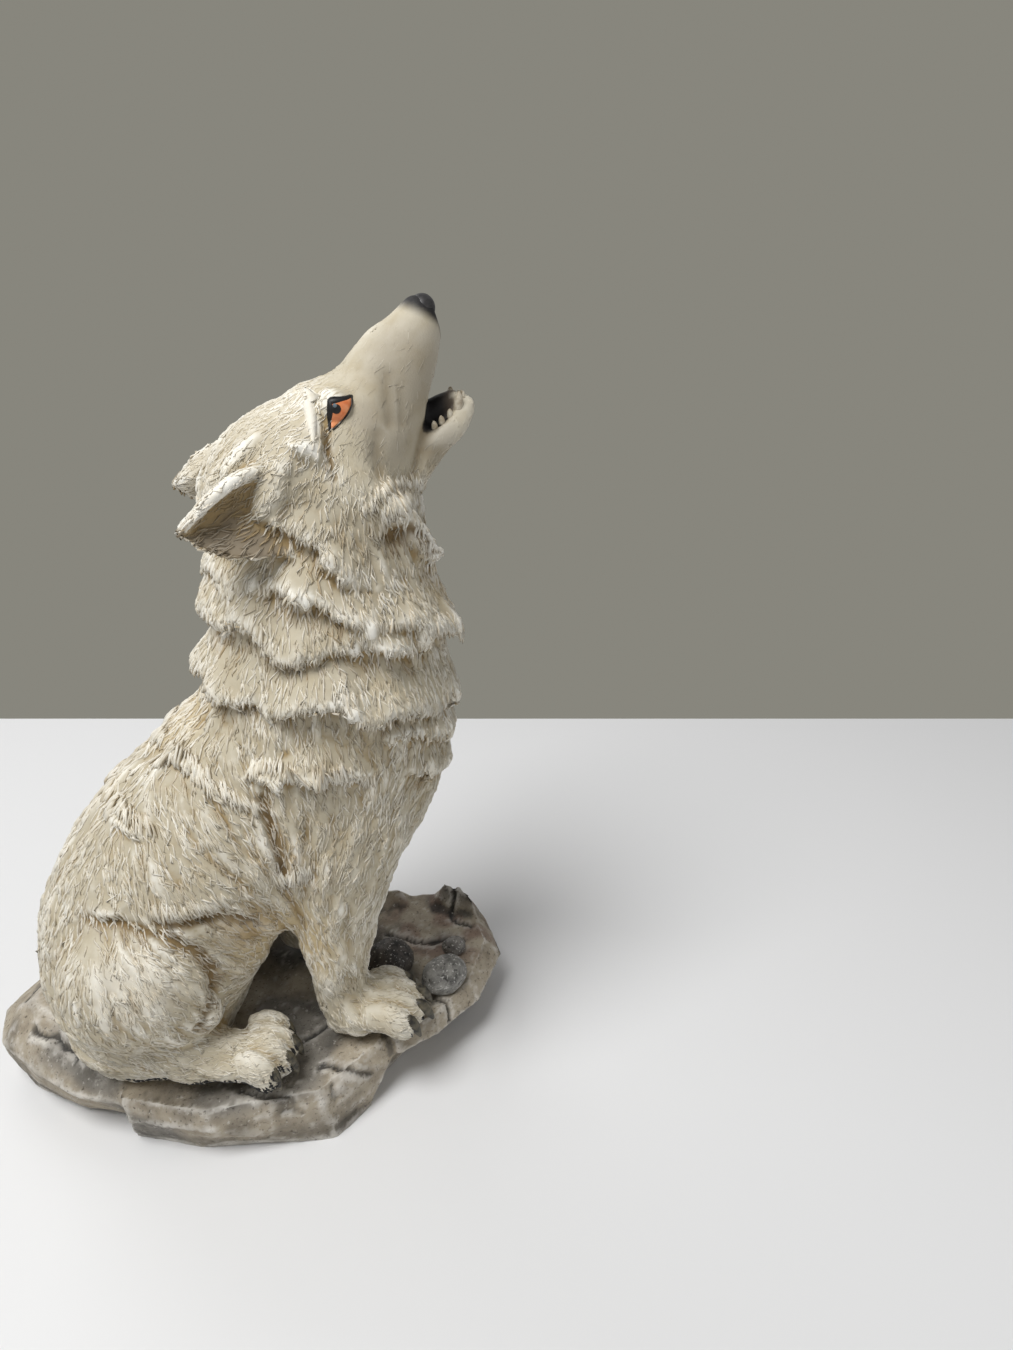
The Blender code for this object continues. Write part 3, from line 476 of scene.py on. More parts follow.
# %% Guide hairs
GUIDES = [
    ((41, 0, 262), (-0.8, 0, -0.4)), ((29, 0, 256), (-0.8, 0, -0.6)), ((15, 0, 245), (-0.7, 0, -0.7)),
    ((46, -12, 258), (-0.8, -0.2, -0.5)), ((35, -26, 240), (-0.5, 0, -0.85)), ((30, -30, 225), (-0.2, 0, -1)),
    ((45, -30, 222), (0.1, 0, -1)), ((60, -28, 225), (0.3, 0, -0.95)), ((75, -12, 268), (-0.55, 0, -0.85)),
    ((62, -20, 246), (-0.35, 0, -0.95)), ((86, 0, 228), (-0.2, 0, -1)), ((86, -8, 242), (-0.5, 0, -0.85)),
    ((15, -31, 228), (-1, -0.1, -0.25)), ((5, -32, 225), (-1, -0.1, -0.25)),
    ((-3, -33, 222), (-1, -0.1, -0.2)),
    ((45, -40, 195), (0.12, 0, -1)), ((90, 0, 170), (0.1, 0, -1)), ((5, 0, 190), (-0.25, 0, -1)),
    ((20, -42, 150), (0.05, 0, -1)), ((30, -44, 130), (0.1, 0, -1)), ((92, 0, 125), (-0.1, 0, -1)),
    ((70, -30, 110), (-0.35, 0, -0.93)), ((-24, 0, 138), (-0.6, 0, -0.8)), ((-49, 0, 115), (-0.5, 0, -0.85)),
    ((-67, 0, 94), (-0.35, 0, -0.95)), ((-80, 0, 66), (-0.15, 0, -1)), ((-85, 0, 31), (0, 0, -1)),
    ((-30, -38, 125), (0.5, 0, -0.85)), ((-10, -40, 115), (0.5, 0, -0.85)), ((0, -40, 90), (0.45, 0, -0.9)),
    ((-40, -38, 105), (0.3, 0, -0.95)), ((-60, -34, 85), (0.1, 0, -1)), ((0, -35, 65), (0.5, 0, -0.85)),
    ((-45, -48, 75), (0.3, 0, -0.95)), ((-20, -48, 60), (0.75, 0, -0.65)), ((-42, -52, 50), (0.25, 0, -0.97)),
    ((-66, -45, 45), (-0.1, 0, -1)), ((-45, -50, 25), (0.4, 0, -0.9)), ((-20, -45, 12), (0.9, -0.35, -0.1)),
    ((0, -48, 12), (0.9, -0.3, -0.2)), ((60, -38, 95), (-0.6, 0, -0.8)), ((40, -44, 95), (-0.25, 0, -0.97)),
    ((25, -46, 85), (-0.1, 0, -1)), ((45, -42, 80), (-0.35, 0, -0.93)), ((30, -40, 45), (0.1, 0, -1)),
    ((35, -38, 20), (0.2, 0, -1)), ((52, -36, 16), (0.95, 0, -0.3)), ((60, -36, 10), (0.9, 0, -0.5)),
    ((-70, -20, 15), (-0.3, -0.9, -0.2)), ((-66, -42, 12), (0.6, -0.5, 0)), ((-34, -55, 8), (1, -0.05, 0)),
    ((0, -52, 6), (1, 0, -0.1)),
]
GUIDE_REACH = 14.0
# How strongly a guide still pulls on hairs far beyond its reach.
FAR_PULL = 1e-4


def combed(points, normals):
    """The way the fur lies at each point: the guides' blend, laid flat on the skin."""
    places = np.array([place for place, _ in GUIDES], float)
    ways = unit(np.array([way for _, way in GUIDES], float))
    mirror = np.where(points[:, 1] > 0, -1.0, 1.0)
    near = points.copy()
    near[:, 1] *= mirror
    blend = np.zeros_like(points)
    for place, way in zip(places, ways):
        away = np.linalg.norm(near - place, axis=1)
        blend += way * (np.exp(-((away / GUIDE_REACH) ** 2) / 2) + FAR_PULL / (1 + away))[:, None]
    blend[:, 1] *= mirror
    blend = unit(blend)
    blend -= (blend * normals).sum(1)[:, None] * normals
    return unit(blend)


print(len(GUIDES), "guide hairs")

# %% [markdown]
# Everything that lies on the skin needs the same things from it: points, normals, triangles, the
# direction of the fur, and a tree that finds the nearest spot quickly. A small class keeps them
# together. Places for hairs are drawn by area, so that large triangles get their fair share.

# %% A skin to lay fur on
class Skin:
    """A mesh to lay fur on: its points, normals, triangles, the way of its fur and a search tree."""

    def __init__(self, mesh):
        mesh.calc_loop_triangles()
        self.points = np.zeros(len(mesh.vertices) * 3)
        mesh.vertices.foreach_get("co", self.points)
        self.points = self.points.reshape(-1, 3)
        self.normals = np.zeros(len(mesh.vertices) * 3)
        mesh.vertex_normals.foreach_get("vector", self.normals)
        self.normals = self.normals.reshape(-1, 3)
        self.tris = np.zeros(len(mesh.loop_triangles) * 3, int)
        mesh.loop_triangles.foreach_get("vertices", self.tris)
        self.tris = self.tris.reshape(-1, 3)
        self.fur = combed(self.points, self.normals)
        self.tree = BVHTree.FromPolygons(self.points.tolist(), self.tris.tolist(), all_triangles=True)

    def scatter(self, count, rng, density):
        """Random spots by area times density: places and the nearest mesh point of each."""
        a, b, c = (self.points[self.tris[:, k]] for k in range(3))
        share = np.linalg.norm(np.cross(b - a, c - a), axis=1) * density((a + b + c) / 3)
        chosen = rng.choice(len(share), count, p=share / share.sum())
        u, v = rng.random((2, count))
        over = u + v > 1
        u[over] = 1 - u[over]
        v[over] = 1 - v[over]
        spots = a[chosen] + (b - a)[chosen] * u[:, None] + (c - a)[chosen] * v[:, None]
        return spots, self.tris[chosen, 0]

    def nearest(self, spots):
        """The skin's nearest spots, and the mesh point by each."""
        found = [self.tree.find_nearest(spot) for spot in spots.tolist()]
        return np.array([f[0] for f in found]), self.tris[[f[2] for f in found], 0]


skin = Skin(body)
print("skin:", len(skin.tris), "triangles")

# %% [markdown]
# A carved hair is a low ridge: a triangular section that swells from a tip and narrows to a tip again.
# It walks over the skin with the fur. Where the skin turns sharply away, under the edge of a layer, the
# ridge goes straight on and hangs over the edge. Arrays hold all ridges at once, which is
# hundreds of times faster than one object for each hair.

# %% Ridges that walk over a skin
# The skin turns away where its normal and the path's agree less than this.
EDGE_AGREEMENT = 0.35
# The share of a step that a ridge goes on beyond such an edge.
EDGE_STEP = 0.35
# Below 1 a ridge is blunt at its ends, above 1 it is sharp.
RIDGE_BLUNTNESS = 0.8


def walk(on, spots, index, lengths, knots):
    """Paths with the fur from each spot: their points and outward directions."""
    points = [spots]
    ups = [on.normals[index]]
    for _ in range(knots - 1):
        step = on.fur[index] * (lengths / (knots - 1))[:, None]
        ahead = points[-1] + step
        landed, landed_index = on.nearest(ahead)
        turned = (on.normals[landed_index] * ups[-1]).sum(1) < EDGE_AGREEMENT
        landed[turned] = points[-1][turned] + EDGE_STEP * step[turned]
        index = np.where(turned, index, landed_index)
        points.append(landed)
        ups.append(np.where(turned[:, None], ups[-1], on.normals[index]))
    return np.stack(points, 1), np.stack(ups, 1)


def ridges(paths, ups, widths, heights, sink=0.25):
    """Points and triangles of closed ridges along the paths, and which points are crests."""
    count, knots, _ = paths.shape
    ahead = unit(np.gradient(paths, axis=1))
    across = unit(np.cross(ups, ahead))
    swell = np.sin(np.linspace(0.0, math.pi, knots)) ** RIDGE_BLUNTNESS
    inner = slice(1, knots - 1)
    half = (widths[:, None] * swell / 2)[:, inner, None]
    lift = (heights[:, None] * swell)[:, inner, None]
    left = paths[:, inner] + across[:, inner] * half - ups[:, inner] * sink
    right = paths[:, inner] - across[:, inner] * half - ups[:, inner] * sink
    crest = paths[:, inner] + ups[:, inner] * lift
    rings = np.stack([left, crest, right], 2).reshape(count, -1, 3)
    ends = paths[:, [0, -1]] - ups[:, [0, -1]] * sink * 0.5
    verts = np.concatenate([ends[:, :1], rings, ends[:, 1:]], 1)
    per = verts.shape[1]
    tris = [(0, 1 + j, 1 + (j + 1) % 3) for j in range(3)]
    for ring in range(knots - 3):
        for j in range(3):
            a = 1 + 3 * ring + j
            b = 1 + 3 * ring + (j + 1) % 3
            tris += [(a, a + 3, b), (b, a + 3, b + 3)]
    last = per - 4
    tris += [(per - 1, last + (j + 1) % 3, last + j) for j in range(3)]
    faces = (np.array(tris)[None] + per * np.arange(count)[:, None, None]).reshape(-1, 3)
    on_crest = np.zeros(per, bool)
    on_crest[2 : per - 1 : 3] = True
    return verts.reshape(-1, 3), faces, np.tile(on_crest, count)


print("a ridge of 5 knots has", 3 + (5 - 3) * 6 + 3, "triangles")

# %% [markdown]
# Over the masses go locks: broad, low ridges that give the coat its soft waves. They are fused into the
# clay together with the rest, so only their swell shows, not their outline.

# %% Small locks
LOCK_COUNT = 1500
LOCK_KNOTS = 6
LOCK_SINK = 1.0
# No locks lie on the face, in front of MUZZLE_BACK and over MUZZLE_LOW.
MUZZLE_BACK = 40.0
MUZZLE_LOW = 232.0
# Below this height lie the feet, which get few locks, and above this one the head, with smaller locks.
FEET_TOP = 20.0
FEET_SHARE = 0.15
HEAD_LOW = 225.0
# Lengths, widths and heights: the least, the most, and the share that is left of them on the head.
SMALL_LOCKS = ((13, 24, 0.6), (4.0, 7.5, 0.7), (0.7, 1.7, 0.5))


def lock_density(spots):
    """More locks on the trunk, none on the face, and few on the feet."""
    face = (spots[:, 0] > MUZZLE_BACK) & (spots[:, 2] > MUZZLE_LOW)
    feet = spots[:, 2] < FEET_TOP
    return np.where(face, 0.0, np.where(feet, FEET_SHARE, 1.0))


def locks():
    """Points and triangles of the small locks."""
    rng = np.random.default_rng(5)
    spots, index = skin.scatter(LOCK_COUNT, rng, lock_density)
    head = spots[:, 2] > HEAD_LOW
    lengths, widths, heights = (
        rng.uniform(least, most, LOCK_COUNT) * np.where(head, on_head, 1.0)
        for least, most, on_head in SMALL_LOCKS
    )
    paths, ups = walk(skin, spots, index, lengths, LOCK_KNOTS)
    verts, faces, _ = ridges(paths, ups, widths, heights, sink=LOCK_SINK)
    return verts, faces


lock_verts, lock_faces = locks()
print(LOCK_COUNT, "locks,", len(lock_faces), "triangles before fusing")

# %% [markdown]
# Larger locks follow the same way, but each has a rounder section that leans to one side, as a tuft of
# damp fur does. They start near the points of a loose grid, so that none lies on top of another.

# %% Main locks
# Half of a lock's section: share of half its width, share of its height, how far it is sunk.
LOCK_SECTION = ((-1, 0, 0.8), (-0.55, 0.7, 0), (0.05, 1, 0), (0.6, 0.6, 0), (1, 0, 0.8))
LOCK_SPACING = 15.0
LOCK_LENGTHS = (18, 28)
LOCK_WIDTHS = (7, 11)
LOCK_HEIGHTS = (1.3, 2.4)
# How far a start may lie from its grid point, from the skin and from the next start, in spacings.
LOCK_JITTER = 0.3
LOCK_REACH = 0.55
LOCK_GAP = 0.75


def lock(bm, path, width, height):
    """A lock of fur along a path of points and outward directions: a low ridge with pointed ends."""
    points = np.array([point for point, _ in path])
    ahead = np.gradient(points, axis=0)
    loops = []
    for k, (point, out) in enumerate(path):
        swell = math.sin(math.pi * (k + 0.4) / (len(path) - 0.2)) ** 0.7
        side = unit(np.cross(out, ahead[k])) * width * swell / 2
        loops.append([bm.verts.new(point + side * off + out * (rise * height * swell - sunk))
                      for off, rise, sunk in LOCK_SECTION])
    walls(bm, loops)


def main_locks(bm):
    """Locks spread over the coat: they start near the points of a loose grid and run with the fur."""
    rng = random.Random(23)
    starts, sizes = [], []
    for x in np.arange(-90, 100, LOCK_SPACING):
        for y in np.arange(-60, 61, LOCK_SPACING):
            for z in np.arange(12, 268, LOCK_SPACING):
                jitter = [rng.uniform(-LOCK_JITTER, LOCK_JITTER) * LOCK_SPACING for _ in range(3)]
                size = [rng.uniform(*span) for span in (LOCK_LENGTHS, LOCK_WIDTHS, LOCK_HEIGHTS)]
                near = Vector((x, y, z)) + Vector(jitter)
                spot, normal, _, _ = skin.tree.find_nearest(near, LOCK_REACH * LOCK_SPACING)
                if spot is None or (spot.x > MUZZLE_BACK and spot.z > MUZZLE_LOW):
                    continue
                start = np.array(spot)
                if all(np.linalg.norm(start - other) > LOCK_GAP * LOCK_SPACING for other, _ in starts):
                    starts.append((start, np.array(normal)))
                    sizes.append(size)
    points = np.array([start for start, _ in starts])
    normals = np.array([normal for _, normal in starts])
    lengths = np.array([length for length, _, _ in sizes])[:, None]
    paths = [list(zip(points, normals))]
    for _ in range(LOCK_KNOTS - 1):
        ahead = points + combed(points, normals) * lengths / (LOCK_KNOTS - 1)
        found = [skin.tree.find_nearest(Vector(p)) for p in ahead]
        points = np.array([spot for spot, _, _, _ in found])
        normals = np.array([normal for _, normal, _, _ in found])
        paths.append(list(zip(points, normals)))
    for path, (_, width, height) in zip(zip(*paths), sizes):
        lock(bm, path, width, height)


print("locks are", LOCK_LENGTHS, "mm long and", LOCK_WIDTHS, "mm wide")

# %% [markdown]
# The ruff is layered like shelves: each layer of fur ends in a ragged edge that stands off the next.
# A ledge follows a line given by angle round the neck and height, or drawn in the side view and dropped
# onto the body. Its section rises slowly from the coat to the edge and tucks back under it.

# %% Measures of the ledges
# Ledges round the neck: (angle from the spine, height) along the edge, height up the coat and lift.
RINGS = [
    ([(0, 199), (42, 197), (72, 196), (86, 190), (112, 185), (138, 179), (180, 176)], 20, 5.5),
    ([(0, 186), (42, 186), (60, 178), (80, 179), (112, 177), (148, 172), (180, 169)], 20, 6.5),
    ([(0, 160), (32, 158), (48, 162), (62, 158), (82, 162), (96, 153), (110, 151), (138, 148), (180, 145)],
     24, 6.5),
]
# The same for ledges that run over a part of each side only.
ARCS = [
    ([(38, 224), (58, 221), (70, 214), (82, 207), (100, 200), (118, 193)], 20, 4.5),
    ([(50, 129), (62, 132), (70, 134), (82, 133), (98, 127), (106, 125)], 17, 4.2),
    ([(104, 142), (118, 140), (132, 135), (150, 131), (178, 129)], 18, 5.0),
    ([(118, 122), (128, 120), (142, 118), (160, 114), (178, 112)], 17, 4.5),
]
# Ledges on the body, seen from the side: (x, z) along the edge, the way up the coat, height, lift.
BODY_LEDGES = [
    ([(-33, 137), (-26, 137), (-18, 133), (-8, 129)], (-0.35, 0, 0.94), 13, 2.8),
    ([(-18, 126), (-6, 124), (6, 119), (14, 114)], (-0.45, 0, 0.9), 12, 2.2),
    ([(-54, 111), (-46, 113), (-33, 109)], (-0.35, 0, 0.94), 12, 2.4),
    ([(9, 87), (15, 89), (23, 93)], (-0.2, 0, 0.98), 12, 2.6),
    ([(-34, 82), (-24, 81), (-14, 84), (-4, 84), (4, 80)], (-0.4, 0, 0.92), 16, 3.0),
    ([(-66, 76), (-56, 82), (-44, 84)], (-0.3, 0, 0.95), 12, 2.0),
    ([(41, 266), (41.5, 258), (41, 249), (43, 240)], (-1.0, 0, -0.15), 12, 2.6),
]
# Half of a ledge's section, from its root to its edge and back under it: share of height up the coat,
# share of lift off it, and how far into the coat the point is sunk.
LEDGE_SECTION = (
    (1.0, 0.0, 2.0), (0.62, 0.22, 0.0), (0.3, 0.7, 0.0), (0.08, 1.0, 0.0), (-0.05, 0.85, 0.0),
    (0.05, 0.25, 0.0), (0.12, 0.0, 2.5),
)
LEDGE_STEP = 2.6
# Every 3 to 10 steps a tuft hangs over a ledge's edge: drops along it and shares of the ledge's lift.
TUFT_GAPS = (3, 10)
TUFT_FULL_LIFT = 5.5
TUFT_PATH = ((12, 0.3), (7, 0.65), (2.5, 0.95), (-1.5, 0.95), (-5, 0.65))
TUFT_SIZES = (0.6, 1.0)
TUFT_SWAY = (-4, 4)
TUFT_WIDTHS = (6, 11)
TUFT_HEIGHTS = (0.8, 2.2)
FRINGE_DEPTH = 2.4
# The ledges hang down further in tufts, about this wide and this deep.
TUFT_SPACING = 9.0
TUFT_DEPTH = 2.8
print(len(RINGS), "rings round the neck and", 2 * len(ARCS + BODY_LEDGES), "ledges on the sides")

# %% Ledges of fur
# Where the ledges end, kept for the fringe: place, outward and upward directions, and size.
ledge_edges = []


def waves(count, rng):
    """Smooth random values from -1 to 1 along a line of count spots, the same at both ends."""
    knots = max(3, int(count * LEDGE_STEP / TUFT_SPACING))
    values = [rng.uniform(-1, 1) for _ in range(knots)]
    return np.interp(np.linspace(0, knots, count), np.arange(knots + 1), values + values[:1])


def ledge(bm, spots, height, lift, closed, rng):
    """A ledge of fur along spots, each one a point on the coat, its outward and its upward direction."""
    count = len(spots)
    tufts, swell = waves(count, rng), waves(count, rng)
    next_tuft = rng.randint(*TUFT_GAPS) // 2
    loops = []
    for k, (point, out, up) in enumerate(spots):
        full = 1.0 if closed else math.sqrt(math.sin(math.pi * (k + 0.5) / count))
        fray = TUFT_DEPTH * tufts[k] + FRINGE_DEPTH * rng.uniform(-0.5, 0.5)
        off_coat = lift * full * (0.9 + 0.5 * swell[k])
        tuft_size = min(1.0, lift / TUFT_FULL_LIFT) * full
        loop = []
        for share, off, sunk in LEDGE_SECTION:
            rise = share * height * full + fray * (1 - share)
            loop.append(bm.verts.new(point + up * rise + out * (off * off_coat - sunk)))
        loops.append(loop)
        ledge_edges.append((point + up * fray + out * off_coat * 0.95, out, up, tuft_size))
        if k == next_tuft:
            next_tuft += rng.randint(*TUFT_GAPS)
            size = tuft_size * rng.uniform(*TUFT_SIZES)
            sway = np.cross(out, up) * rng.uniform(*TUFT_SWAY) * size
            path = []
            for step, (drop, off) in enumerate(TUFT_PATH):
                hang = up * (fray + drop * size) + out * off_coat * off + sway * step / len(TUFT_PATH)
                path.append((point + hang, out))
            lock(bm, path, rng.uniform(*TUFT_WIDTHS) * size, rng.uniform(*TUFT_HEIGHTS) * size)
    walls(bm, loops, closed)


# %% [markdown]
# A ledge needs a row of spots on the coat to grow from. Round the neck they are found by turning about
# the trunk's own rings and looking back at the skin from outside. On the body the edge is drawn in the
# side view and thrown sideways onto the skin, because that is the view that the photograph shows.

# %% Where the ledges run
# The way round the neck in millimetres, and the length of one degree of it.
NECK_ROUND = 240.0
NECK_DEGREE = 0.7


def neck_spots(rings, edge, side, first, last, count):
    """Spots on the body along an edge given as (angle from the spine, height) on the trunk."""
    line = spline(edge, 60)
    spots = []
    for k in range(count):
        angle = first + (last - first) * k / count
        height = np.interp(abs(angle), line[:, 0], line[:, 1])
        turn = math.radians(90 + side * angle)
        column = np.array([c + s * math.cos(turn) + u * math.sin(turn) for c, _, s, u in rings])
        place = np.interp(height, column[:, 2], np.arange(len(column)))
        low = min(int(place), len(column) - 2)
        point = column[low] + (column[low + 1] - column[low]) * (place - low)
        _, _, across, depth = rings[low]
        out = unit(across * math.cos(turn) + depth * math.sin(turn))
        hit, _, _, _ = skin.tree.ray_cast(Vector(point + 20 * out), Vector(-out))
        if hit is not None:
            point = np.array(hit)
        spots.append((point, out, unit(column[low + 1] - column[low])))
    return spots


def side_spots(edge, up, side):
    """Spots along an edge drawn in the side view, dropped sideways onto the body."""
    length = np.linalg.norm(np.diff(np.array(edge, float), axis=0), axis=1).sum()
    spots = []
    for x, z in spline(edge, max(4, int(length / LEDGE_STEP))):
        spot, normal, _, _ = skin.tree.ray_cast(Vector((x, side * 200, z)), Vector((0, -side, 0)))
        if spot is not None:
            out = np.array(normal)
            spots.append((np.array(spot), out, unit(np.array(up) - np.dot(up, out) * out)))
    return spots


def fur_ledges(bm):
    """All ledges: whole rings, then those on each side."""
    rng = random.Random(11)
    rings = rings_of(TRUNK, (0, 1, 0), 81)
    for edge, height, lift in RINGS:
        spots = neck_spots(rings, edge, 1, -180, 180, int(NECK_ROUND / LEDGE_STEP))
        ledge(bm, spots, height, lift, True, rng)
    for side in (-1, 1):
        for edge, height, lift in ARCS:
            first, last = edge[0][0], edge[-1][0]
            count = int(NECK_DEGREE * (last - first) / LEDGE_STEP)
            ledge(bm, neck_spots(rings, edge, -side, first, last, count), height, lift, False, rng)
        for edge, up, height, lift in BODY_LEDGES:
            ledge(bm, side_spots(edge, up, side), height, lift, False, rng)


print("the neck's rings have", int(NECK_ROUND / LEDGE_STEP), "steps each")

# %% [markdown]
# The ears are cupped, pointed shells between an upper and a lower rim, laid back as a howling wolf's
# are. A grid of points between the two rims is pushed towards the head in its middle, once for the
# hollow that is seen, and once a little further for the back of the ear.

# %% Ears
EAR_STEPS = 12
EAR_ACROSS = 8
EAR_CUP_WAY = (0.15, -0.9, 0.35)
EAR_SPREAD = 32.0
EAR_THICKNESS = 3.6
EAR_CUP = 7.0
EAR_ROLL = (2.2, 2.0)
# The rims: x, share of EAR_SPREAD and height over the neck, from the root to the tip.
EAR_RIM_TOP = [(28, 0.60, 16), (16, 0.80, 16), (4, 0.94, 10), (-7, 1.0, 1)]
EAR_RIM_LOW = [(28, 0.95, -11), (14, 1.07, -10.5), (3, 1.05, -7.5), (-7, 1.0, 0)]


def ear_grid(side, offset, steps=EAR_STEPS, across=EAR_ACROSS):
    """Points of an ear's cupped surface, offset towards the head, base to tip and rim to rim."""
    rims = [spline(on_neck(rim), steps) for rim in (EAR_RIM_TOP, EAR_RIM_LOW)]
    grid = []
    for k in range(steps):
        top, low = (np.array((r[k][0], r[k][1] * EAR_SPREAD, r[k][2])) for r in rims)
        width = np.linalg.norm(top - low)
        row = []
        for j in range(across + 1):
            v = j / across
            cup = EAR_CUP * min(1.0, width / 20) * 4 * v * (1 - v)
            p = top + (low - top) * v + np.array(EAR_CUP_WAY) * (cup + offset)
            row.append((p[0], side * p[1], p[2]))
        grid.append(row)
    return np.array(grid)


def ear(bm, side):
    """A cupped, pointed shell between the two rims, open outwards."""
    inner, outer = (
        [[bm.verts.new(p) for p in row] for row in ear_grid(side, offset)] for offset in (0.0, EAR_THICKNESS)
    )
    for k in range(EAR_STEPS - 1):
        for j in range(EAR_ACROSS):
            bm.faces.new((inner[k][j], inner[k + 1][j], inner[k + 1][j + 1], inner[k][j + 1]))
            bm.faces.new((outer[k][j], outer[k][j + 1], outer[k + 1][j + 1], outer[k + 1][j]))
        for j in (0, EAR_ACROSS):
            bm.faces.new((inner[k][j], inner[k + 1][j], outer[k + 1][j], outer[k][j]))
    for k in (0, EAR_STEPS - 1):
        for j in range(EAR_ACROSS):
            bm.faces.new((inner[k][j], inner[k][j + 1], outer[k][j + 1], outer[k][j]))


def ear_rim(bm, side):
    """A rounded roll of fur along the upper rim of an ear."""
    roll = [(x + 0.5, side * share * EAR_SPREAD, z, *EAR_ROLL) for x, share, z in on_neck(EAR_RIM_TOP)]
    x, y, z, width, depth = roll[-1]
    loft(bm, roll[:-1] + [(x + 1.5, y, z, width / 2, depth / 2)], across=(0, 0, 1), sides=10, steps=16)


print("an ear is", round(EAR_RIM_TOP[0][0] - EAR_RIM_TOP[-1][0]), "mm long")

# %% [markdown]
# Smaller forms finish the head: the eyeballs, the curl of fur behind each cheek, the lower lips, the
# tongue and the nose. The eyeballs only bulge the clay here: their paint comes later.

# %% Face
def face(bm):
    """Eyeballs, the curl of each cheek, lower lips, tongue and nose."""
    for side in (-1, 1):
        (x, y, z), radii, pitch = EYE
        ball(bm, raised((x, side * y, z)), radii, pitch, fine=2)
        loft(bm, shifted(on_neck(CHEEK_CURL), 0, 0, side), sides=14, steps=24)
        loft(bm, shifted(on_neck(LOWER_LIP), 0, 0, side), sides=14, steps=24)
    loft(bm, on_neck(TONGUE), sides=14, steps=16)
    centre, radii, pitch = NOSE
    ball(bm, raised(centre), radii, pitch, fine=2)


print("an eyeball is", 2 * EYE_RADIUS, "mm wide")

# %% [markdown]
# A paw is four toes that fan out, each a short loft with a high knuckle and a low pad. A flat ball
# between them stands for the web, so that the gaps between the toes stay shallow.

# %% Paws
TOE_WIDTH = 5.4
TOE_PITCH = 6.8
TOE_HEIGHT = 12.5
# The ball that joins the toes: its place along the reach, its height, and its size in reaches, pitches
# and toe heights.
WEB_REACH = 0.42
WEB_HEIGHT = 7.8
WEB_SHARES = (0.78, 2.0, 0.62)
# The paws' x, y, reach and turn.
FRONT_PAW = (47.0, LEG_SPREAD + FRONT_PAW_OUT, 13.5, 10)
HIND_PAW = (-5.0, HIP_SPREAD + HIND_PAW_OUT, 10.0, 20)


def toes(x, y, reach, yaw, side):
    """Each toe's start, the way it points, the way across it and its length, as seen from above."""
    for spread, length in TOE_SHARES:
        turn = math.radians(yaw + TOE_FAN_DEG * spread)
        along = np.array((math.cos(turn), side * math.sin(turn)))
        across = np.array((-math.sin(turn), side * math.cos(turn)))
        yield np.array((x, side * y)) + across * spread * TOE_PITCH, along, across, reach * length


def paw(bm, x, y, reach, yaw, side):
    """Four toes that fan from (x, y), joined by a flat ball."""
    for start, along, across, length in toes(x, y, reach, yaw, side):
        toe = []
        for share, rise, width, depth in TOE_STATIONS:
            px, py = start + along * length * share
            toe.append((px, py, rise * TOE_HEIGHT, width * TOE_WIDTH, depth))
        loft(bm, toe, across=(*across, 0), sides=14, steps=10)
    turn = math.radians(yaw)
    web_x = x + WEB_REACH * reach * math.cos(turn)
    web_y = side * (y + WEB_REACH * reach * math.sin(turn))
    radii = (reach * WEB_SHARES[0], TOE_PITCH * WEB_SHARES[1], TOE_HEIGHT * WEB_SHARES[2])
    ball(bm, (web_x, web_y, WEB_HEIGHT), radii, yaw=side * yaw, fine=2)


def paw_places():
    """Every paw's x, y, reach, yaw and side."""
    for side in (-1, 1):
        x, y, reach, yaw = FRONT_PAW
        yield x - (FAR_LEG_BACK if side > 0 else 0), y, reach, yaw, side
        yield (*HIND_PAW, side)


print("paws at", [tuple(round(v) for v in place[:2]) for place in paw_places()])

# %% [markdown]
# Now masses, face, ears, paws, ledges and locks become one skin. The grain is fine enough to keep the
# ledges' ragged edges, and a single rub leaves them crisp.

# %% Fuse the coat
COAT_GRAIN = 1.36
COAT_RUBS = 1


def coat_forms(bm):
    """Everything that the coat's skin is made of."""
    bm.from_mesh(body)
    face(bm)
    for side in (-1, 1):
        ear(bm, side)
        ear_rim(bm, side)
    for place in paw_places():
        paw(bm, *place)
    fur_ledges(bm)
    main_locks(bm)
    lock_points = [bm.verts.new(p) for p in lock_verts.tolist()]
    for a, b, c in lock_faces.tolist():
        bm.faces.new((lock_points[a], lock_points[b], lock_points[c]))


coat = fused(mesh_of("coat", coat_forms), COAT_GRAIN, COAT_RUBS)
print("coat:", len(coat.vertices), "points")
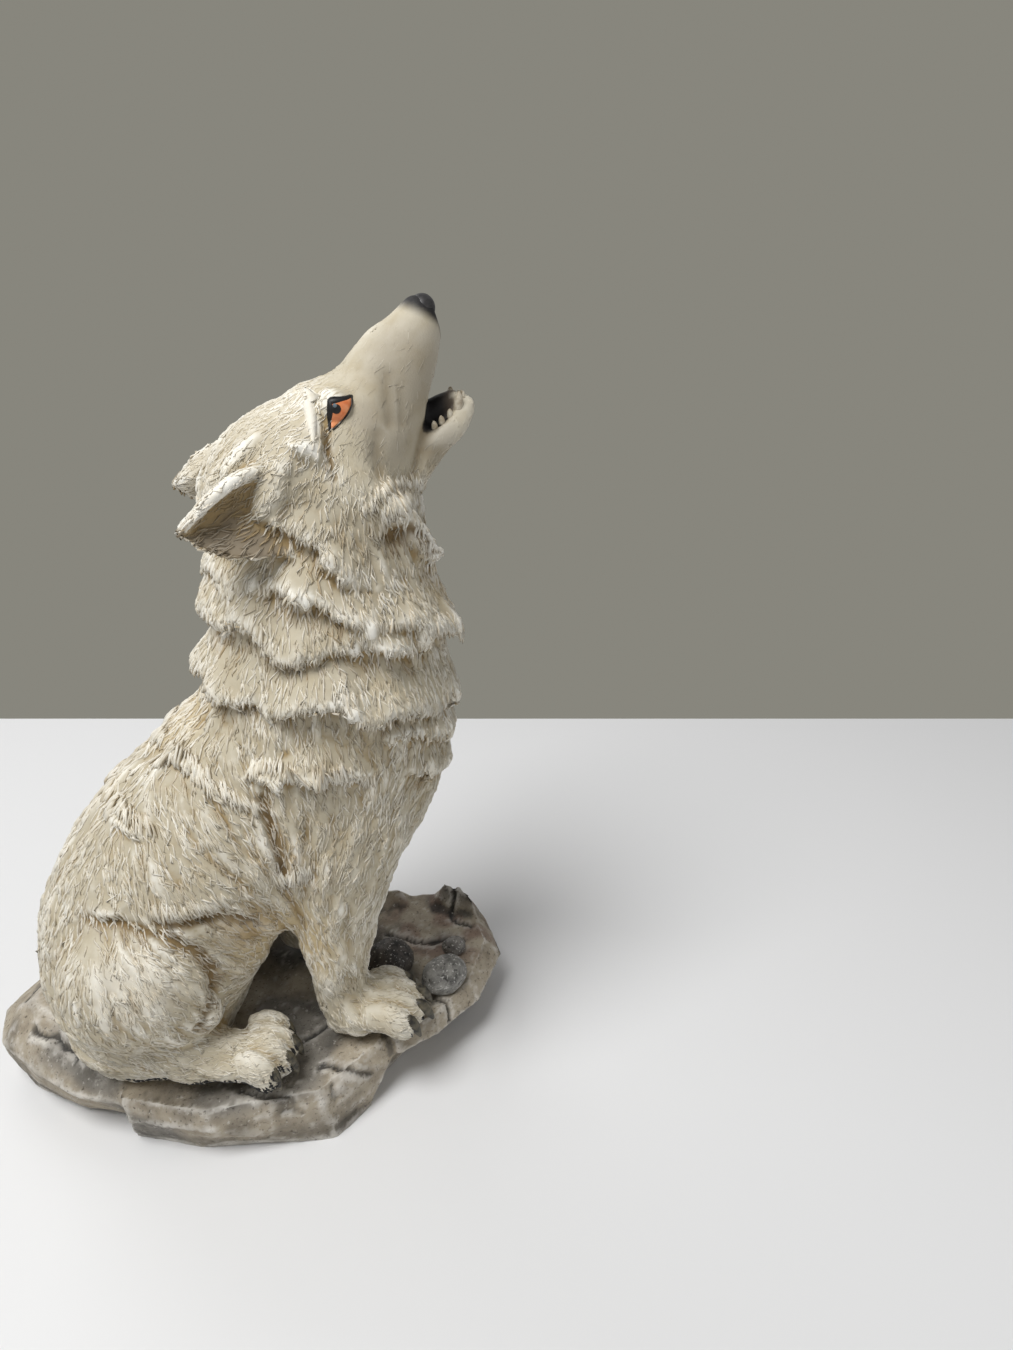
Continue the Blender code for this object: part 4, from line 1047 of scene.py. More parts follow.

# %% [markdown]
# Some lines are pressed into the clay with a round tool: the furrows of the muzzle, the fold beside
# the eye, the hollow under the cheek's curl and the line that parts the haunch from the belly. Each is
# drawn in the side view, and the points near it are moved inwards, on both sides of the animal. The
# brows are pushed out and the bridge behind them in, which gives the head its step.

# %% Creases
# Each crease: points x, z in the side view, half width, depth and how dark the painted shade in it is.
CREASES = {
    "front furrow": ([(66.6, 264), (65.8, 256), (66.3, 250)], 2.4, 0.8, 0.45),
    "lip furrow": ([(70.0, 261), (70.8, 254), (70.2, 249)], 1.9, 0.5, 0.3),
    "cheek furrow": ([(61.0, 246), (60.0, 240), (60.8, 234)], 2.6, 0.8, 0.45),
    "eye fold": ([(44.6, 248), (44.0, 244.4), (44.8, 235)], 1.1, 0.8, 0.7),
    "mouth fold": ([(80.6, 246), (77.5, 240), (74, 230)], 2.2, 0.8, 0.4),
    "curl hollow": ([(62, 213), (70, 214.6), (77, 210.5), (80.5, 203)], 3.4, 2.0, 0.9),
    "haunch line": ([(-60, 81.5), (-46.8, 81), (-32.2, 75.5), (-22, 66.2),
                     (-18.4, 54), (-20.6, 42.2), (-27, 33)], 2.3, 1.5, 0.7),
    "belly fold": ([(-34, 80), (-23, 78.6), (-10, 79), (-2, 73)], 2.4, 1.6, 0.9),
    "armpit": ([(7.7, 124), (9.8, 113.4), (11.3, 99.8), (12.6, 86)], 2.4, 1.6, 0.9),
}


def to_line(points, line):
    """How far each point of the side view lies from a line of x, z points."""
    flat = points[:, [0, 2]]
    away = np.full(len(flat), np.inf)
    for a, b in zip(np.array(line[:-1], float), np.array(line[1:], float)):
        along = b - a
        share = np.clip(((flat - a) @ along) / (along @ along), 0, 1)
        away = np.minimum(away, np.linalg.norm(flat - a - share[:, None] * along, axis=1))
    return away


def near_side(points):
    """Points of the left side mirrored to the right, where the tables have their places."""
    return np.column_stack([points[:, 0], -np.abs(points[:, 1]), points[:, 2]])


# Broad dents and swellings on the head: centre on the right side, radius and how far the skin moves out.
SWELLS = [
    ((41, -9, 265), 6.5, 2.8), ((52, -2, 266), 7.0, -2.6), ((58, -8, 262), 5.0, -1.0),
    ((66, 0, 276), 6.0, 1.6), ((40, -22, 254), 5.0, 1.2),
]


def swollen(mesh):
    """The mesh with its swellings and dents, alike on both sides."""
    on = Skin(mesh)
    near = near_side(on.points)
    push = np.zeros(len(near))
    for centre, radius, out in SWELLS:
        push += out * np.exp(-((np.linalg.norm(near - np.array(centre), axis=1) / radius) ** 2))
    return moved_to(mesh, on.points + on.normals * push[:, None])


def pressed(mesh):
    """The mesh with its creases, and how dark the painted shade in them is at each point."""
    on = Skin(mesh)
    sideways = eased(np.abs(on.normals[:, 1]), 0.15, 0.5)
    depth = np.zeros(len(on.points))
    wash_and_shade = np.zeros(len(on.points))
    for line, half_width, deep, dark in CREASES.values():
        near = np.exp(-((to_line(on.points, line) / half_width) ** 2)) * sideways
        depth = np.maximum(depth, deep * near)
        wash_and_shade = np.maximum(wash_and_shade, dark * near)
    return moved_to(mesh, on.points - on.normals * depth[:, None]), wash_and_shade


coat, crease_shade = pressed(swollen(coat))
skin = Skin(coat)
print("coat:", len(skin.points), "points,", len(skin.tris), "triangles")

# %% [markdown]
# Painters of such castings work in three coats: cream all over, a thin tan wash that runs into the
# hollows, and white brushed lightly over what stands proud. Here the tan in the hollows also paints the
# shade that falls there, and darker tan is painted shade under the ledges and in the creases. To paint
# like that, the script measures how hollow each point is: how far the smoothed surface lies above it. A
# few rounds of smoothing find the fine creases and many rounds find the broad undercuts.

# %% How hollow the coat is
def hollowness(on, rounds):
    """How far the skin smoothed by this many rounds lies over each point, in millimetres."""
    a = on.tris.ravel()
    b = on.tris[:, [1, 2, 0]].ravel()
    links = np.bincount(a, minlength=len(on.points)) + np.bincount(b, minlength=len(on.points))
    smooth = on.points.copy()
    for _ in range(rounds):
        for axis in range(3):
            old = smooth[:, axis]
            total = np.bincount(a, old[b], len(old)) + np.bincount(b, old[a], len(old))
            smooth[:, axis] = 0.5 * old + 0.5 * total / np.maximum(links, 1)
    return ((smooth - on.points) * on.normals).sum(1)


fine_hollow = hollowness(skin, 4)
broad_hollow = hollowness(skin, 40)
print("hollows:", fine_hollow.min().round(2), "to", fine_hollow.max().round(2), "mm fine,",
      broad_hollow.min().round(2), "to", broad_hollow.max().round(2), "mm broad")

# %% [markdown]
# Colours are written as a painter would read them off a chart, as sRGB values of 0 to 255, and turned
# into the linear values that Blender mixes. The coat isn't one cream: it is greyer on the muzzle,
# straw-coloured on the belly and chest and paler on the haunch, in fields that fade into each other.

# %% Colours
def rgb(red, green, blue):
    """An sRGB colour of 0 to 255 as the linear values that Blender mixes."""
    share = np.array((red, green, blue)) / 255
    return np.where(share <= 0.04045, share / 12.92, ((share + 0.055) / 1.055) ** 2.4)


CREAM = rgb(192, 183, 161)
# Tan wash of the hollows, which also stands for the shade that falls in them.
TAN_WASH_AND_SHADE = rgb(160, 138, 98)
# Darker tan: painted shade under the ledges and in the creases.
DEEP_SHADE = rgb(110, 88, 54)
BRUSHED_WHITE = rgb(247, 244, 234)
MUZZLE_GREY = rgb(168, 159, 141)
# Grey of the painted shade in the face's creases.
FURROW_SHADE = rgb(132, 122, 103)
EAR_BROWN = rgb(132, 119, 100)
NOSE_BLACK = rgb(38, 37, 38)
MOUTH_BROWN = rgb(92, 80, 68)
THROAT_BLACK = rgb(14, 10, 10)
STRAW = rgb(205, 186, 146)

# Fields of colour on the right side of the wolf, mirrored on the left: centre, radius, colour, strength.
FIELDS = [
    ((76, -13, 266), 20, MUZZLE_GREY, 0.9), ((66, -19, 247), 13, MUZZLE_GREY, 0.8),
    ((57, -17, 253), 6, rgb(170, 160, 142), 0.6), ((84, -8, 240), 11, rgb(160, 150, 132), 0.7),
    ((10, -30, 55), 26, STRAW, 0.8), ((85, 0, 190), 26, STRAW, 0.6), ((-20, 0, 150), 22, STRAW, 0.5),
    ((-5, -30, 72), 16, rgb(176, 150, 106), 0.7), ((14, -45, 100), 9, rgb(190, 164, 120), 0.5),
    ((-45, -52, 62), 19, rgb(226, 221, 208), 0.7), ((30, 0, 262), 22, rgb(214, 206, 186), 0.5),
    ((40, -22, 254), 6, rgb(236, 231, 219), 0.9),
]


def mixed(under, over, share):
    """One colour for each point, this share of the way from under to over."""
    return under + (over - under) * share[:, None]


def patches(points, size, seed):
    """Cloudy values from 0 to 1 with patches of about this size."""
    shift = Vector((seed * 17.0, seed * 5.0, -seed * 11.0))
    values = [noise.noise(Vector(p) / size + shift) for p in points.tolist()]
    return np.clip(0.5 + 0.8 * np.array(values), 0, 1)


print(len(FIELDS), "fields of colour on the coat")


# %% Where the paint changes
def coat_base(points):
    """The cream coat with its fields of colour, before wash and brush."""
    base = np.tile(CREAM, (len(points), 1))
    mirrored = near_side(points)
    for centre, radius, colour, strength in FIELDS:
        away = np.linalg.norm(mirrored - np.array(centre), axis=1)
        base = mixed(base, colour, strength * (1 - eased(away, radius * 0.45, radius * 1.15)))
    return base


def inner_ear(points, normals):
    """How much each point belongs to the inside of an ear."""
    share = np.zeros(len(points))
    for side in (-1, 1):
        grid = ear_grid(side, 0.0, 24, 16)
        hollow = grid[1:-1, 1:-1].reshape(-1, 3)
        near = np.where((points[:, 0] < 34) & (points[:, 2] > 205) & (points[:, 1] * side > 12))[0]
        away = np.array([np.linalg.norm(hollow - p, axis=1).min() for p in points[near]])
        facing = normals[near, 1] * side
        share[near] = (1 - eased(away, 1.4, 2.4)) * eased(facing, -0.3, 0.3)
    return share


def inside_mouth(points):
    """How much each point belongs to the mouth: between the jaws, and inside the lips."""
    gap = spline([row[:3] + row[4:] for row in on_neck(LIP_GAP)], 60)
    lips = spline(on_neck(LOWER_LIP), 60)
    share = np.zeros(len(points))
    near = np.where((points[:, 0] > 78) & (points[:, 2] > 236) & (points[:, 2] < 270))[0]
    for i in near:
        x, y, z = points[i]
        k = np.hypot(gap[:, 0] - x, gap[:, 2] - z).argmin()
        between = np.hypot(gap[k, 0] - x, gap[k, 2] - z) < gap[k, 3] + 1.2
        k = np.hypot(lips[:, 0] - x, lips[:, 2] - z).argmin()
        share[i] = between * (1 - eased(np.array(abs(y)), lips[k, 1] - 1.4, lips[k, 1] - 0.2))
    return share


def on_the_face(points):
    """How much each point belongs to the face, where the paint is smooth and the hair short."""
    return eased(points[:, 0], 44, 54) * eased(points[:, 2], 228, 240)


in_ear = inner_ear(skin.points, skin.normals)
in_mouth = inside_mouth(skin.points)
face_share = on_the_face(skin.points)
print("inside the mouth:", int(in_mouth.sum()), "points; inside the ears:", int(in_ear.sum()))

# %% [markdown]
# The coats of paint follow each other much as on the real casting: colour fields, brown in the ears, tan
# wash in the hollows that also paints their shade, painted shade in a darker tan under the ledges and in
# the creases, then white over what stands proud, in clouds as a half-dry brush leaves it. The black of
# the nose and the mouth comes last.

# %% Paint the coat
NOSE_PLACE = (83, 0, 284.5)
CLOUD_SIZE = 16
# Where a wash, a painted shade or a brush sets in and where it is full, in millimetres of hollow or of
# height, and its strength there. The tan wash also paints the shade in the hollows.
FINE_WASH_AND_SHADE = (0.02, 0.28, 0.65)
BROAD_WASH_AND_SHADE = (0.2, 1.3, 0.85)
# Painted shade in the broad undercuts under the ledges.
UNDERCUT_SHADE = (1.2, 3.2, 0.7)
FINE_BRUSH = (0.05, 0.30, 0.5)
BROAD_BRUSH = (0.3, 1.6, 0.7)


def laid(depth, first, full, strength):
    """How strongly a coat of paint covers each point."""
    return eased(depth, first, full) * strength


cloud = patches(skin.points, CLOUD_SIZE, 1)
paint = coat_base(skin.points)
paint = mixed(paint, EAR_BROWN, in_ear * 0.9)
# The tan wash in fine and broad hollows: real wash and painted shade together.
wash_and_shade = laid(fine_hollow, *FINE_WASH_AND_SHADE) + laid(broad_hollow, *BROAD_WASH_AND_SHADE)
paint = mixed(paint, TAN_WASH_AND_SHADE, np.clip(wash_and_shade, 0, 1) * (1 - 0.6 * face_share))
# Painted shade under the ledges, in a darker tan.
paint = mixed(paint, DEEP_SHADE, laid(broad_hollow, *UNDERCUT_SHADE))
# Painted shade along the creases: grey on the face, darker tan elsewhere.
paint = mixed(paint, FURROW_SHADE, crease_shade * face_share)
paint = mixed(paint, DEEP_SHADE, crease_shade * (1 - face_share))
brush = laid(-fine_hollow, *FINE_BRUSH) + laid(-broad_hollow, *BROAD_BRUSH)
brush = brush * (0.35 + 0.65 * eased(skin.points[:, 2], 14, 26))
brush = np.clip(brush * (0.35 + cloud), 0, 1) * (1 - 0.75 * face_share) * (1 - in_ear)
paint = mixed(paint, BRUSHED_WHITE, brush)
nose_gap = np.linalg.norm(skin.points - np.array(NOSE_PLACE), axis=1)
paint = mixed(paint, NOSE_BLACK, 1 - eased(nose_gap, 6.0, 9.5))
under_nose = np.abs(skin.points[:, 1]) * (skin.points[:, 2] > 262) * (skin.points[:, 0] > 84)
paint = mixed(paint, NOSE_BLACK, 0.8 * (1 - eased(under_nose, 2.0, 4.5)) * (under_nose > 0))
throat = eased(-skin.points[:, 0], -93, -87)
mouth = mixed(np.tile(MOUTH_BROWN, (len(paint), 1)), THROAT_BLACK, throat)
paint = mixed(paint, mouth, in_mouth)
print("mean paint of the coat, linear:", paint.mean(0).round(3))

# %% [markdown]
# A piece leaves the sculptor's millimetres here: its mesh is scaled to metres, lifted onto the rock's
# seat, given its paint as a colour for each point, and tied to the one body of the figure.

# %% Placing a piece
TO_FRAME = Matrix.Translation((0, 0, SEAT_HEIGHT * MM)) @ Matrix.Scale(MM, 4)


def placed(name, mesh, material, paint=None):
    """A finished piece of this name, with its material and a colour for each point if given."""
    mesh.name = name
    mesh.transform(TO_FRAME)
    mesh.materials.clear()
    mesh.materials.append(material)
    mesh.shade_smooth()
    if paint is not None:
        layer = mesh.attributes.new("paint", "FLOAT_COLOR", "POINT")
        layer.data.foreach_set("color", np.column_stack([paint, np.ones(len(paint))]).ravel())
    piece = in_scene(name, mesh)
    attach(piece, "root")
    print(name, len(mesh.vertices), "points")
    return piece


def mesh_from(name, verts, faces):
    """A mesh of these points and triangles."""
    mesh = bpy.data.meshes.new(name)
    mesh.from_pydata(verts.tolist(), [], faces.tolist())
    mesh.update()
    return mesh


print("a piece is lifted by", SEAT_HEIGHT, "mm and scaled by", MM)

# %% [markdown]
# The coat's finish: the painted colour, broken up by fine mottling, a matt but slightly waxy surface
# as acrylic on resin has, and a very fine grain as bump, too small to be worth any triangles.

# %% Coat finish
def add(tree, kind, **settings):
    """A shader node with its properties and constant inputs set by name."""
    node = tree.nodes.new(kind)
    for key, value in settings.items():
        label = key.replace("_", " ")
        if label in node.inputs:
            node.inputs[label].default_value = value
        else:
            setattr(node, key, value)
    return node


def noise_at(tree, size_mm, detail=3, rough=0.55):
    """Cloudy noise with grains of this size."""
    place = add(tree, "ShaderNodeTexCoord")
    cloudy = add(tree, "ShaderNodeTexNoise", Scale=1000 / size_mm, Detail=detail, Roughness=rough)
    tree.links.new(place.outputs["Object"], cloudy.inputs["Vector"])
    return cloudy.outputs["Fac"]


def ramp(tree, source, low, high, to_low, to_high):
    """The source's values from low to high, spread from to_low to to_high."""
    spread = add(tree, "ShaderNodeMapRange")
    for label, value in (("From Min", low), ("From Max", high), ("To Min", to_low), ("To Max", to_high)):
        spread.inputs[label].default_value = value
    tree.links.new(source, spread.inputs["Value"])
    return spread.outputs["Result"]


def bumped(tree, shader, source, height_mm, strength):
    """A relief of this height on the shader, too fine for triangles."""
    bump = add(tree, "ShaderNodeBump", Strength=strength, Distance=height_mm * MM)
    tree.links.new(source, bump.inputs["Height"])
    tree.links.new(bump.outputs["Normal"], shader.inputs["Normal"])


def tinted(tree, colour, factor, other, blend="MULTIPLY"):
    """The colour, with another one laid over it where the factor is high."""
    mix = add(tree, "ShaderNodeMix", data_type="RGBA", blend_type=blend)
    tree.links.new(factor, mix.inputs[0])
    tree.links.new(colour, mix.inputs[6])
    mix.inputs[7].default_value = (*other, 1)
    return mix.outputs[2]


def fur_paint():
    """Matt, slightly waxy paint that shows the colours of the mesh's points."""
    paint, tree, shader = new_paint("fur_paint")
    colour = add(tree, "ShaderNodeAttribute", attribute_name="paint").outputs["Color"]
    colour = tinted(tree, colour, ramp(tree, noise_at(tree, 7), 0.45, 0.75, 0, 0.35), rgb(222, 208, 178))
    tree.links.new(colour, shader.inputs["Base Color"])
    tree.links.new(ramp(tree, noise_at(tree, 4), 0.3, 0.7, 0.5, 0.72), shader.inputs["Roughness"])
    shader.inputs["Specular IOR Level"].default_value = 0.35
    bumped(tree, shader, noise_at(tree, 0.7), 0.15, 0.5)
    return paint


FUR_PAINT = fur_paint()
coat_piece = placed("wolf_coat", coat, FUR_PAINT, paint)
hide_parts("wolf_casting")

# %% [markdown]
# Now the hair itself. Each carved hair is a ridge about a millimetre wide. Its crest takes more of the
# brushed white, as a dry brush leaves it on the real one, and its foot is darker tan: painted shade between
# the hairs, with some wash.
# Hairs on the head are short and low, and the sides of the muzzle have almost none.

# %% Carved hair
HAIR_PIECES = 3
HAIRS_PER_PIECE = 9000
HAIR_LENGTHS = (4.5, 9.5)
HAIR_WIDTHS = (0.7, 1.3)
HAIR_HEIGHTS = (0.4, 0.9)
HAIR_KNOTS = 5
HAIR_CURL = 0.6
# Over HAIR_HEAD_LOW and under HAIR_FEET_TOP this share of a hair's size is left.
HAIR_HEAD_LOW = 228.0
HAIR_FEET_TOP = 24.0
SMALL_HAIR = 0.72


def hair_density(spots):
    """No hair under the paws, little on the muzzle, and more where it is small."""
    muzzle = eased(spots[:, 0], 54, 62) * eased(spots[:, 2], 234, 244)
    head = spots[:, 2] > HAIR_HEAD_LOW
    buried = (spots[:, 2] < 0) | ((spots[:, 2] < 6) & (np.abs(spots[:, 1]) < 20))
    fine = head | (spots[:, 2] < FEET_TOP)
    return np.where(buried, 0.0, np.where(fine, 1.7, 1.0) * (1 - 0.8 * muzzle))


def hair(count, seed):
    """Points and triangles of some hairs, and the colour of each point."""
    rng = np.random.default_rng(seed)
    spots, index = skin.scatter(count, rng, hair_density)
    keep = (in_mouth[index] == 0) & (nose_gap[index] > 10)
    spots, index = spots[keep], index[keep]
    n = len(spots)
    on_face = on_the_face(spots)
    small = np.where((spots[:, 2] > HAIR_HEAD_LOW) | (spots[:, 2] < HAIR_FEET_TOP), SMALL_HAIR, 1.0)
    lengths = rng.uniform(*HAIR_LENGTHS, n) * small
    widths = rng.uniform(*HAIR_WIDTHS, n) * small
    heights = rng.uniform(*HAIR_HEIGHTS, n) * small * (1 - 0.7 * on_face)
    paths, ups = walk(skin, spots, index, lengths, HAIR_KNOTS)
    curl = rng.normal(0, HAIR_CURL, n)
    across = unit(np.cross(ups, unit(np.gradient(paths, axis=1))))
    wave = np.sin(np.linspace(0, 2 * math.pi, HAIR_KNOTS))
    paths = paths + across * (curl[:, None] * wave)[:, :, None]
    verts, faces, crest = ridges(paths, ups, widths, heights)
    per = len(verts) // n
    own = np.repeat(paint[index], per, axis=0)
    brushed = np.repeat((0.25 + rng.random(n)) * (0.3 + 0.8 * cloud[index]) * (1 - 0.8 * on_face), per)
    brushed = np.clip(brushed * (1 - 0.75 * np.repeat(in_ear[index], per)), 0, 1)
    crest_paint = mixed(own, BRUSHED_WHITE, brushed)
    # The foot of each hair is darker tan: painted shade between the hairs, with the wash.
    foot_shade = mixed(own, TAN_WASH_AND_SHADE, np.full(len(own), 0.45) * (1 - 0.8 * np.repeat(on_face, per)))
    return verts, faces, np.where(crest[:, None], crest_paint, foot_shade)


for k in range(HAIR_PIECES):
    verts, faces, hair_paint = hair(HAIRS_PER_PIECE, 20 + k)
    placed(f"carved_hair_{k + 1}", mesh_from("hair", verts, faces), FUR_PAINT, hair_paint)

# %% [markdown]
# A few ridges are laid on singly, as drawn in the side view: over the shoulder, the flank, the elbow and
# the haunch, and the curl of the cheek. Each becomes a row of edges like those of the ledges, from
# which short thick tufts hang.

# %% Single ridges
def dropped(x, z, side, lift):
    """The spot of the head or body at x and z seen from the side, lifted off it."""
    hit, normal, _, _ = skin.tree.ray_cast(Vector((x, side * 80, z)), Vector((0, -side, 0)))
    if hit is None:
        hit, normal, _, _ = skin.tree.find_nearest(Vector((x, side * 15, z)))
    (ex, ey, ez), _, _ = EYE
    ez += NECK_TOP
    reach = (EYE_RADIUS + 0.3) ** 2 - (x - ex) ** 2 - (z - ez) ** 2
    if reach > 0 and ey + math.sqrt(reach) > abs(hit.y):
        hit = Vector((x, side * (ey + math.sqrt(reach)), z))
        normal = hit - Vector((ex, side * ey, ez))
    return hit + lift * normal.normalized()


# Points x, z in the side view and the size of the hairs that hang there.
SINGLE_RIDGES = [
    ([(5.2, 133.0), (11.6, 135.4), (24.0, 131.2), (33.2, 131.0), (46.2, 125.3)], 0.9),
    ([(-30.6, 137.7), (-23.8, 134.7), (-15.9, 133.0), (-7.8, 128.8)], 0.9),
    ([(-16.3, 129.8), (-4.5, 126.0), (5.9, 118.2)], 0.8),
    ([(-50.8, 116.1), (-42.8, 115.9), (-32.7, 111.8)], 0.9),
    ([(9.6, 87.0), (15.5, 86.8), (20.5, 89.3)], 0.9), ([(-34.1, 83.2), (-22.8, 82.8), (-9.8, 83.0)], 0.8),
    ([(54, 221.9), (59.7, 226.8), (70.9, 228), (81.9, 222.4)], 0.55),
    ([(57.0, 214.5), (61.0, 219.6), (66.5, 221.8), (74.5, 220.6), (80.5, 215.5)], 0.75),
]
RIDGE_STEP = 2.2


def single_edges():
    """Edges along the single ridges: place, outward and upward directions, and size."""
    for line, size in SINGLE_RIDGES:
        count = int(math.dist(line[0], line[-1]) / RIDGE_STEP) + 3
        for x, z in spline(line, count):
            for side in (-1, 1):
                place = np.array(dropped(x, z, side, 0.7))
                out = np.array(dropped(x, z, side, 1.7)) - place
                _, index = skin.nearest(place[None])
                yield place, out, unit(-skin.fur[index[0]] + np.array((0, 0, 0.6))), size


ridge_edges = list(single_edges())
print("edges on the single ridges:", len(ridge_edges))

# %% [markdown]
# The layers' edges are frayed with fine hairs, and the single ridges with thick tufts. Both catch the
# brush, so their tips are the whitest places on the figure.

# %% Fringe along the ledges
FRINGE_PER_EDGE = 7
TUFTS_PER_EDGE = 5
# Edges below this size, near a ledge's ends, carry no hairs.
FRINGE_LEAST = 0.5
# How far a hair may start from its edge, along and up, and how far its tip sways.
FRINGE_ALONG = 1.8
FRINGE_UP = 1.1
FRINGE_SWAY = 1.2
# A hair runs from this share of its length over the edge to this one below it.
FRINGE_ROOT = 0.85
FRINGE_TIP = -0.3
# How steeply it leans into the coat over the edge and away from it below, and how deep it is sunk.
FRINGE_LEAN_IN = 0.3
FRINGE_LEAN_OUT = 0.12
FRINGE_SINK = 0.6


def fringe(seed, over, per_edge, long, wide, high, knots=6):
    """Hairs that hang over the edges; long, wide and high are the least and the most in millimetres."""
    rng = np.random.default_rng(seed)
    full = [edge for edge in over if edge[3] > FRINGE_LEAST]
    place, out, up = (np.repeat(np.array([edge[k] for edge in full]), per_edge, axis=0) for k in range(3))
    size = np.repeat([edge[3] for edge in full], per_edge)
    n = len(place)
    along = unit(np.cross(out, up))
    place = place + along * rng.uniform(-FRINGE_ALONG, FRINGE_ALONG, n)[:, None]
    place = place + up * rng.uniform(-FRINGE_UP, FRINGE_UP, n)[:, None]
    steps = np.linspace(FRINGE_ROOT, FRINGE_TIP, knots)
    rise = (rng.uniform(*long, n) * size)[:, None] * steps
    off = -FRINGE_LEAN_IN * np.clip(rise, 0, None) + FRINGE_LEAN_OUT * np.clip(rise, None, 0)
    sway = (rng.normal(0, FRINGE_SWAY, n) * size)[:, None] * (FRINGE_ROOT - steps)
    paths = place[:, None] + up[:, None] * rise[..., None] + out[:, None] * off[..., None]
    paths = paths + along[:, None] * sway[..., None]
    ups = np.repeat(out[:, None], knots, axis=1)
    heights = rng.uniform(*high, n) * size
    verts, faces, crest = ridges(paths, ups, rng.uniform(*wide, n) * size, heights, sink=FRINGE_SINK)
    white = np.repeat(0.3 + 0.7 * rng.random(n), len(verts) // n)
    tint = mixed(np.tile(CREAM, (len(verts), 1)), BRUSHED_WHITE, white)
    # Darker tan on the sides of each hair: painted shade between the hairs.
    foot = mixed(tint, TAN_WASH_AND_SHADE, np.full(len(verts), 0.6))
    return mesh_from("fringe", verts, faces), np.where(crest[:, None], tint, foot)


for name, *settings in (("ruff_fringe", 31, ledge_edges, FRINGE_PER_EDGE, (4, 8), (0.7, 1.5), (0.4, 0.8)),
                        ("ridge_tufts", 32, ridge_edges, TUFTS_PER_EDGE, (6, 11), (0.9, 2.0), (0.5, 1.1))):
    mesh, fringe_colours = fringe(*settings)
    placed(name, mesh, FUR_PAINT, fringe_colours)

# %% [markdown]
# The eyes are paint on a smooth bulge: an orange field with a thick black line over and behind it, a
# black pupil and a small grey glint, which is a painted reflection of the light. Paint has a little
# thickness, so each colour is a thin patch or stroke that is drawn in the side view, dropped sideways
# onto the head and lifted a few tenths of a millimetre. Where it meets the eyeball, it is laid on the
# ball itself, which is rounder than the clay.

# %% Places of the eye's paint
# The outline of the orange field: x and z.
EYE_FIELD = [
    (46.2, 257.8), (49.9, 258.2), (53.9, 258.4), (53.3, 256.4), (52.2, 254.8), (50.8, 253.1), (48.8, 251.0),
    (46.8, 249.6), (45.8, 249.1), (45.8, 251.5), (46.0, 255),
]
# Strokes of black round the eye: x, z and width.
LID_STROKES = [
    [(45.9, 257.6, 1.4), (47.4, 257.8, 2.6), (50.4, 258.2, 1.7), (53.9, 258.7, 0.8)],
    [(46.5, 257.9, 1.6), (46.4, 255, 2.3), (45.9, 251.8, 1.5), (45.3, 248.4, 0.6)],
    [(54.2, 258.9, 0.8), (53.6, 256.4, 0.45), (51.7, 253.4, 0.4), (49.0, 250.7, 0.4), (46.4, 248.9, 0.5)],
]
# Centre and radius of the two round spots.
PUPIL = (48.1, 255.5, 1.7)
# The glint is a painted reflection of the light on the pupil.
GLINT = (47.8, 256.5, 0.7)
print("the pupil is", 2 * PUPIL[2], "mm wide")


# %% Patches and strokes of paint
def patch(bm, outline, side, lift, rings=7, sink=0.8):
    """A thin patch: its rim follows the outline's x, z points and is tucked into the clay."""
    edge = np.array(outline, float)
    edge = np.array([edge[k] + (edge[(k + 1) % len(edge)] - edge[k]) * t
                     for k in range(len(edge)) for t in (0, 0.25, 0.5, 0.75)])
    middle = edge.mean(0)
    loops = []
    for ring in range(1, rings + 1):
        at = middle + (edge - middle) * ring / rings
        loops.append([bm.verts.new(dropped(x, z, side, lift * (1 - 0.5 * (ring == rings)))) for x, z in at])
    loops.append([bm.verts.new(dropped(x, z, side, -sink)) for x, z in edge])
    centre = bm.verts.new(dropped(*middle, side, lift))
    for k in range(len(edge)):
        n = (k + 1) % len(edge)
        bm.faces.new((centre, loops[0][k], loops[0][n]))
        for inner, outer in zip(loops, loops[1:]):
            bm.faces.new((inner[k], outer[k], outer[n], inner[n]))
    bm.faces.new(loops[-1])


def disc(x, z, radius):
    """The outline of a round patch."""
    turns = np.linspace(0, 2 * math.pi, 12)[:-1]
    return [(x + radius * math.cos(a), z + radius * math.sin(a)) for a in turns]


def stroke(bm, line, side, lift, steps=22, sink=0.6):
    """A brush stroke along rows of x, z and width."""
    rows = spline(line, steps)
    ways = unit(np.gradient(rows[:, :2], axis=0))
    loops = []
    for (x, z, width), (dx, dz) in zip(rows, ways):
        half = max(width, 0.2) / 2
        section = ((-half, -sink), (-half, lift * 0.4), (0, lift), (half, lift * 0.4), (half, -sink))
        loops.append([bm.verts.new(dropped(x - dz * off, z + dx * off, side, up)) for off, up in section])
    walls(bm, loops)


# %% [markdown]
# Enamel paints for the eyes, the nose and the claws: each has its own colour, slightly uneven, and more
# gloss than the coat. One function mixes them all, because only their numbers differ.

# %% Enamels
def enamel(name, light, dark, gloss_low, gloss_high, patch_mm, coat=0.0):
    """Paint that wanders between two colours in patches, with a roughness that wanders too."""
    paint, tree, shader = new_paint(name)
    mix = add(tree, "ShaderNodeMix", data_type="RGBA")
    tree.links.new(ramp(tree, noise_at(tree, patch_mm), 0.35, 0.65, 0, 1), mix.inputs[0])
    mix.inputs[6].default_value = (*light, 1)
    mix.inputs[7].default_value = (*dark, 1)
    tree.links.new(mix.outputs[2], shader.inputs["Base Color"])
    gloss = ramp(tree, noise_at(tree, patch_mm / 2), 0.3, 0.7, gloss_low, gloss_high)
    tree.links.new(gloss, shader.inputs["Roughness"])
    shader.inputs["Coat Weight"].default_value = coat
    bumped(tree, shader, noise_at(tree, patch_mm / 4), 0.05, 0.4)
    return paint


